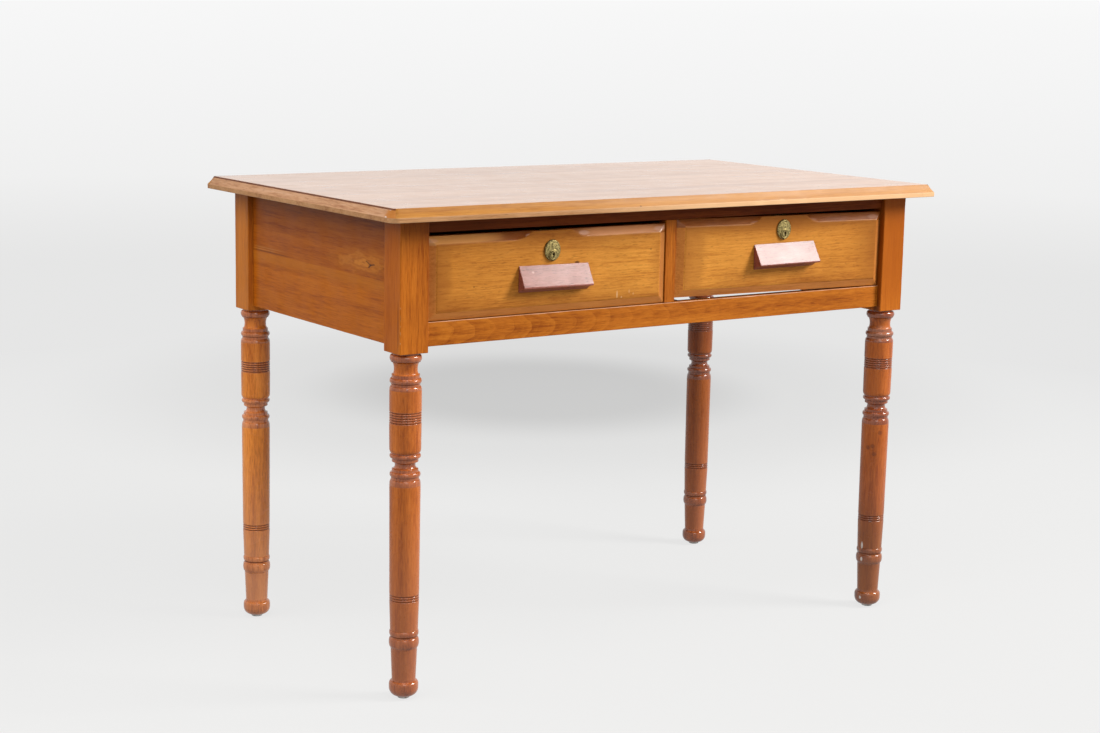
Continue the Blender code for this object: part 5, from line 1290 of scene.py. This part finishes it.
def make_lock(side):
    """The lock's domed and chased oval face with its bore, and the plug with its keyway and crank."""
    sizes = DRAWERS[side]
    matrix = drawer_matrix(side)
    middle = (sizes["lock_shift"], FRONT_HEIGHT - sizes["lock_drop"])
    axis_up = -PLUG_BELOW_FACE_MIDDLE
    bore = PLUG_RADIUS + PLUG_RUN_GAP
    turns = [2 * math.pi * step / LOCK_ANGLES for step in range(LOCK_ANGLES)]

    def edge_distance(turn):
        """From the plug's axis to the oval's edge in one direction."""
        wide = LOCK_FACE_WIDTH / 2
        tall = LOCK_FACE_HEIGHT / 2
        a = (math.cos(turn) / wide) ** 2 + (math.sin(turn) / tall) ** 2
        b = 2 * axis_up * math.sin(turn) / tall ** 2
        c = (axis_up / tall) ** 2 - 1
        return (-b + math.sqrt(b * b - 4 * a * c)) / (2 * a)

    def at(turn, distance, depth):
        return matrix @ Vector((middle[0] + distance * math.cos(turn), depth,
                                middle[1] + axis_up + distance * math.sin(turn)))

    rings = [[at(turn, bore, CASE_FRONT - SEAT_GAP) for turn in turns]]
    for step in range(LOCK_RINGS + 1):
        share = (step / LOCK_RINGS) ** 1.2
        ring = []
        for turn in turns:
            distance = bore + (edge_distance(turn) - bore) * share
            across = distance * math.cos(turn)
            up = axis_up + distance * math.sin(turn)
            ring.append(at(turn, distance, -lock_height(across, up, axis_up)))
        rings.append(ring)
    rings.append([at(turn, edge_distance(turn), -SEAT_GAP) for turn in turns])
    rings.append([at(turn, edge_distance(turn) - LOCK_BODY_STEP, -SEAT_GAP) for turn in turns])
    rings.append([at(turn, edge_distance(turn) - LOCK_BODY_STEP, CASE_FRONT - SEAT_GAP) for turn in turns])
    points = [point for ring in rings for point in ring]
    faces = []
    for row in range(len(rings)):
        start = row * LOCK_ANGLES
        next_start = (row + 1) % len(rings) * LOCK_ANGLES
        for step in range(LOCK_ANGLES):
            after = (step + 1) % LOCK_ANGLES
            faces.append((start + step, start + after, next_start + after, next_start + step))
    face = make_piece(f"{side}_lock_face", points, faces, ["lock_brass"], smooth=50.0)
    settle(face, f"{side}_drawer", "brass", f"{side}_lock_cylinder")

    front = LOCK_FACE_PROUD + LOCK_BEZEL_PROUD + PLUG_PROUD
    disc_back = DISC_FRONT + CRANK_DISC_THICKNESS
    profile = [(0.0, -front + 0.0003), (PLUG_RADIUS * 0.55, -front + 0.0002),
               (PLUG_RADIUS - PLUG_PROUD, -front), (PLUG_RADIUS - 0.0001, -front + PLUG_PROUD * 0.5),
               (PLUG_RADIUS, -front + PLUG_PROUD), (PLUG_RADIUS, DISC_FRONT), (CRANK_DISC_RADIUS, DISC_FRONT),
               (CRANK_DISC_RADIUS, disc_back), (0.0, disc_back)]
    plug_middle = Vector((middle[0], 0.0, middle[1] + axis_up))

    def turned_along_y(profile, centre, sides):
        rings = []
        for radius, depth in profile:
            if radius < 1e-6:
                rings.append([matrix @ (centre + Vector((0.0, depth, 0.0)))])
                continue
            rings.append([matrix @ (centre + Vector((radius * math.cos(2 * math.pi * step / sides), depth,
                                                     radius * math.sin(2 * math.pi * step / sides))))
                          for step in range(sides)])
        return rings

    plug = skinned(f"{side}_lock_plug_face", turned_along_y(profile, plug_middle, PLUG_SIDES), ["brass"],
                   smooth=45.0)
    keyhole = [(-KEYHOLE[0][0], KEYHOLE[0][1]), *KEYHOLE]
    keyhole += [(-across, up) for across, up in reversed(KEYHOLE[1:])]
    rings = [[matrix @ (plug_middle + Vector((across, depth, up))) for across, up in keyhole]
             for depth in (KEYWAY_START, -front + KEYWAY_DEPTH)]
    cut_away(plug, skinned("keyhole", rings, ["brass"]))
    pin_middle = plug_middle - Vector((0.0, 0.0, CRANK_THROW))
    pin_root = disc_back - CRANK_DISC_THICKNESS / 2
    pin_end = disc_back + CRANK_PIN_LENGTH
    pin_profile = [(0.0, pin_root), (CRANK_PIN_RADIUS, pin_root), (CRANK_PIN_RADIUS, pin_end), (0.0, pin_end)]
    pin = skinned(f"{side}_lock_crank_pin", turned_along_y(pin_profile, pin_middle, PIN_SIDES), ["brass"])
    settle(plug, f"{side}_plug", "brass", f"{side}_lock_plug")
    settle(pin, f"{side}_plug", "brass", f"{side}_lock_plug")


def paint_solids():
    """Gives the solids that stay as they are the grain that their place asks for."""
    lengthwise = ("kicker", "drawer_runner", "drawer_guide", "runner_packing")
    crosswise = ("drawer_stop", "glue_block")
    for name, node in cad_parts.items():
        if name.startswith(lengthwise) or name.endswith("_side"):
            material = "inner_y"
        elif name.startswith(crosswise) or name.endswith(("_drawer_back", "_drawer_bottom")):
            material = "inner_x"
        elif name == "upper_front_rail":
            material = "upper_rail"
        elif name.endswith(("_case", "_bolt")):
            material = "brass"
        else:
            continue
        for slot in node.material_slots:
            slot.material = MATERIALS[material]


# Studio

def make_studio():
    """A pale floor that sweeps up into a wall all round, soft lights and an even sky."""
    profile = [(0.0, 0.0), (0.6, 0.0), (1.5, 0.0), (3.0, 0.0), (FLOOR_RADIUS, 0.0)]
    for step in range(1, SWEEP_STEPS + 1):
        turn = math.pi / 2 * step / SWEEP_STEPS
        profile.append((FLOOR_RADIUS + SWEEP_RADIUS * math.sin(turn), SWEEP_RADIUS * (1 - math.cos(turn))))
    profile.append((FLOOR_RADIUS + SWEEP_RADIUS, WALL_HEIGHT))
    points = []
    faces = []
    skin(turn_rings(profile, STUDIO_SIDES, (0.0, 0.0)), points, faces)
    faces.pop()
    surface = Surface("Studio paper", roughness=0.9, specular_ior_level=0.1)
    mottle = surface.noise(surface.evenly(1.3), detail=2.0)
    dim = tuple(value * PAPER_MOTTLE for value in FLOOR_COLOUR[:3]) + (1.0,)
    surface.feed("Base Color", surface.mix(mottle, FLOOR_COLOUR, dim))
    level = surface.vector("MULTIPLY", surface.place, (1.0, 1.0, 0.0))
    away = surface.vector("LENGTH", level, output="Value")
    height = surface.along("Z")
    highest = PAPER[-1][0]
    stops = [(rise / highest, colour) for rise, colour in PAPER]
    paper = surface.ramp(surface.range(height, 0.0, highest), stops)
    further = surface.range(away, NEAR_FLOOR, FAR_FLOOR)
    paper = surface.mix(further, NEAR_PAPER, paper)
    # Painted shadows behind the desk, darkened into the even paper
    for centre, radii, share in PAINTED_DESK_SHADOW:
        paper = surface.mix(surface.spot(centre, radii, share), paper, (0.0, 0.0, 0.0, 1.0))
    even = surface.put("ShaderNodeEmission", {"Color": paper, "Strength": 1.0})
    rays = surface.tree.nodes.new("ShaderNodeLightPath").outputs
    seen = surface.math("MAXIMUM", rays["Is Camera Ray"], rays["Is Glossy Ray"])
    seen = surface.math("MAXIMUM", seen, rays["Is Transmission Ray"])
    share = surface.times(seen, surface.range(further, 0.0, 1.0, EVEN_SHARE, 1.0))
    blended = surface.put("ShaderNodeMixShader", {0: share, 1: surface.shader.outputs[0], 2: even})
    surface.tree.links.new(blended, surface.tree.nodes["Material Output"].inputs["Surface"])
    mesh = bpy.data.meshes.new("studio_sweep")
    mesh.from_pydata(points, [], faces)
    mesh.materials.append(surface.material)
    mesh.shade_smooth()
    sweep = bpy.data.objects.new("studio_sweep", mesh)
    bpy.context.scene.collection.objects.link(sweep)

    for name, (place, target, width, height, watts, colour) in LIGHTS.items():
        light = bpy.data.lights.new(name, "AREA")
        light.shape = "RECTANGLE"
        light.size = width
        light.size_y = height
        light.energy = watts
        light.color = colour
        lamp = bpy.data.objects.new(name, light)
        lamp.location = place
        lamp.visible_glossy = name not in HIDDEN_FROM_GLOSS
        lamp.rotation_euler = (Vector(target) - Vector(place)).to_track_quat("-Z", "Y").to_euler()
        bpy.context.scene.collection.objects.link(lamp)

    world = bpy.data.worlds.new("Studio sky")
    world.use_nodes = True
    sky = world.node_tree.nodes["Background"]
    sky.inputs["Color"].default_value = WORLD_COLOUR
    sky.inputs["Strength"].default_value = WORLD_STRENGTH
    bpy.context.scene.world = world


def make_camera():
    """The camera at the photograph's viewpoint."""
    level_forward = Vector((math.sin(CAMERA_YAW), math.cos(CAMERA_YAW), 0.0))
    forward = level_forward * math.cos(CAMERA_PITCH) - Vector((0.0, 0.0, math.sin(CAMERA_PITCH)))
    level_right = Vector((math.cos(CAMERA_YAW), -math.sin(CAMERA_YAW), 0.0))
    level_up = level_right.cross(forward)
    right = level_right * math.cos(CAMERA_ROLL) + level_up * math.sin(CAMERA_ROLL)
    up = level_up * math.cos(CAMERA_ROLL) - level_right * math.sin(CAMERA_ROLL)
    lens = bpy.data.cameras.new("Camera")
    lens.sensor_fit = "HORIZONTAL"
    lens.sensor_width = SENSOR_WIDTH
    lens.lens = FOCAL_PIXELS / PHOTO_WIDTH * SENSOR_WIDTH
    camera = bpy.data.objects.new("Camera", lens)
    turn = Matrix((right, up, -forward)).transposed()
    camera.matrix_world = Matrix.Translation(CAMERA_PLACE) @ turn.to_4x4()
    bpy.context.scene.collection.objects.link(camera)
    bpy.context.scene.camera = camera


make_camera()
make_studio()
make_top()
make_legs()
make_frame_boards()
for drawer in DRAWERS:
    make_front(drawer)
    make_pull(drawer)
    make_lock(drawer)
paint_solids()
bpy.context.scene.view_settings.view_transform = "Standard"
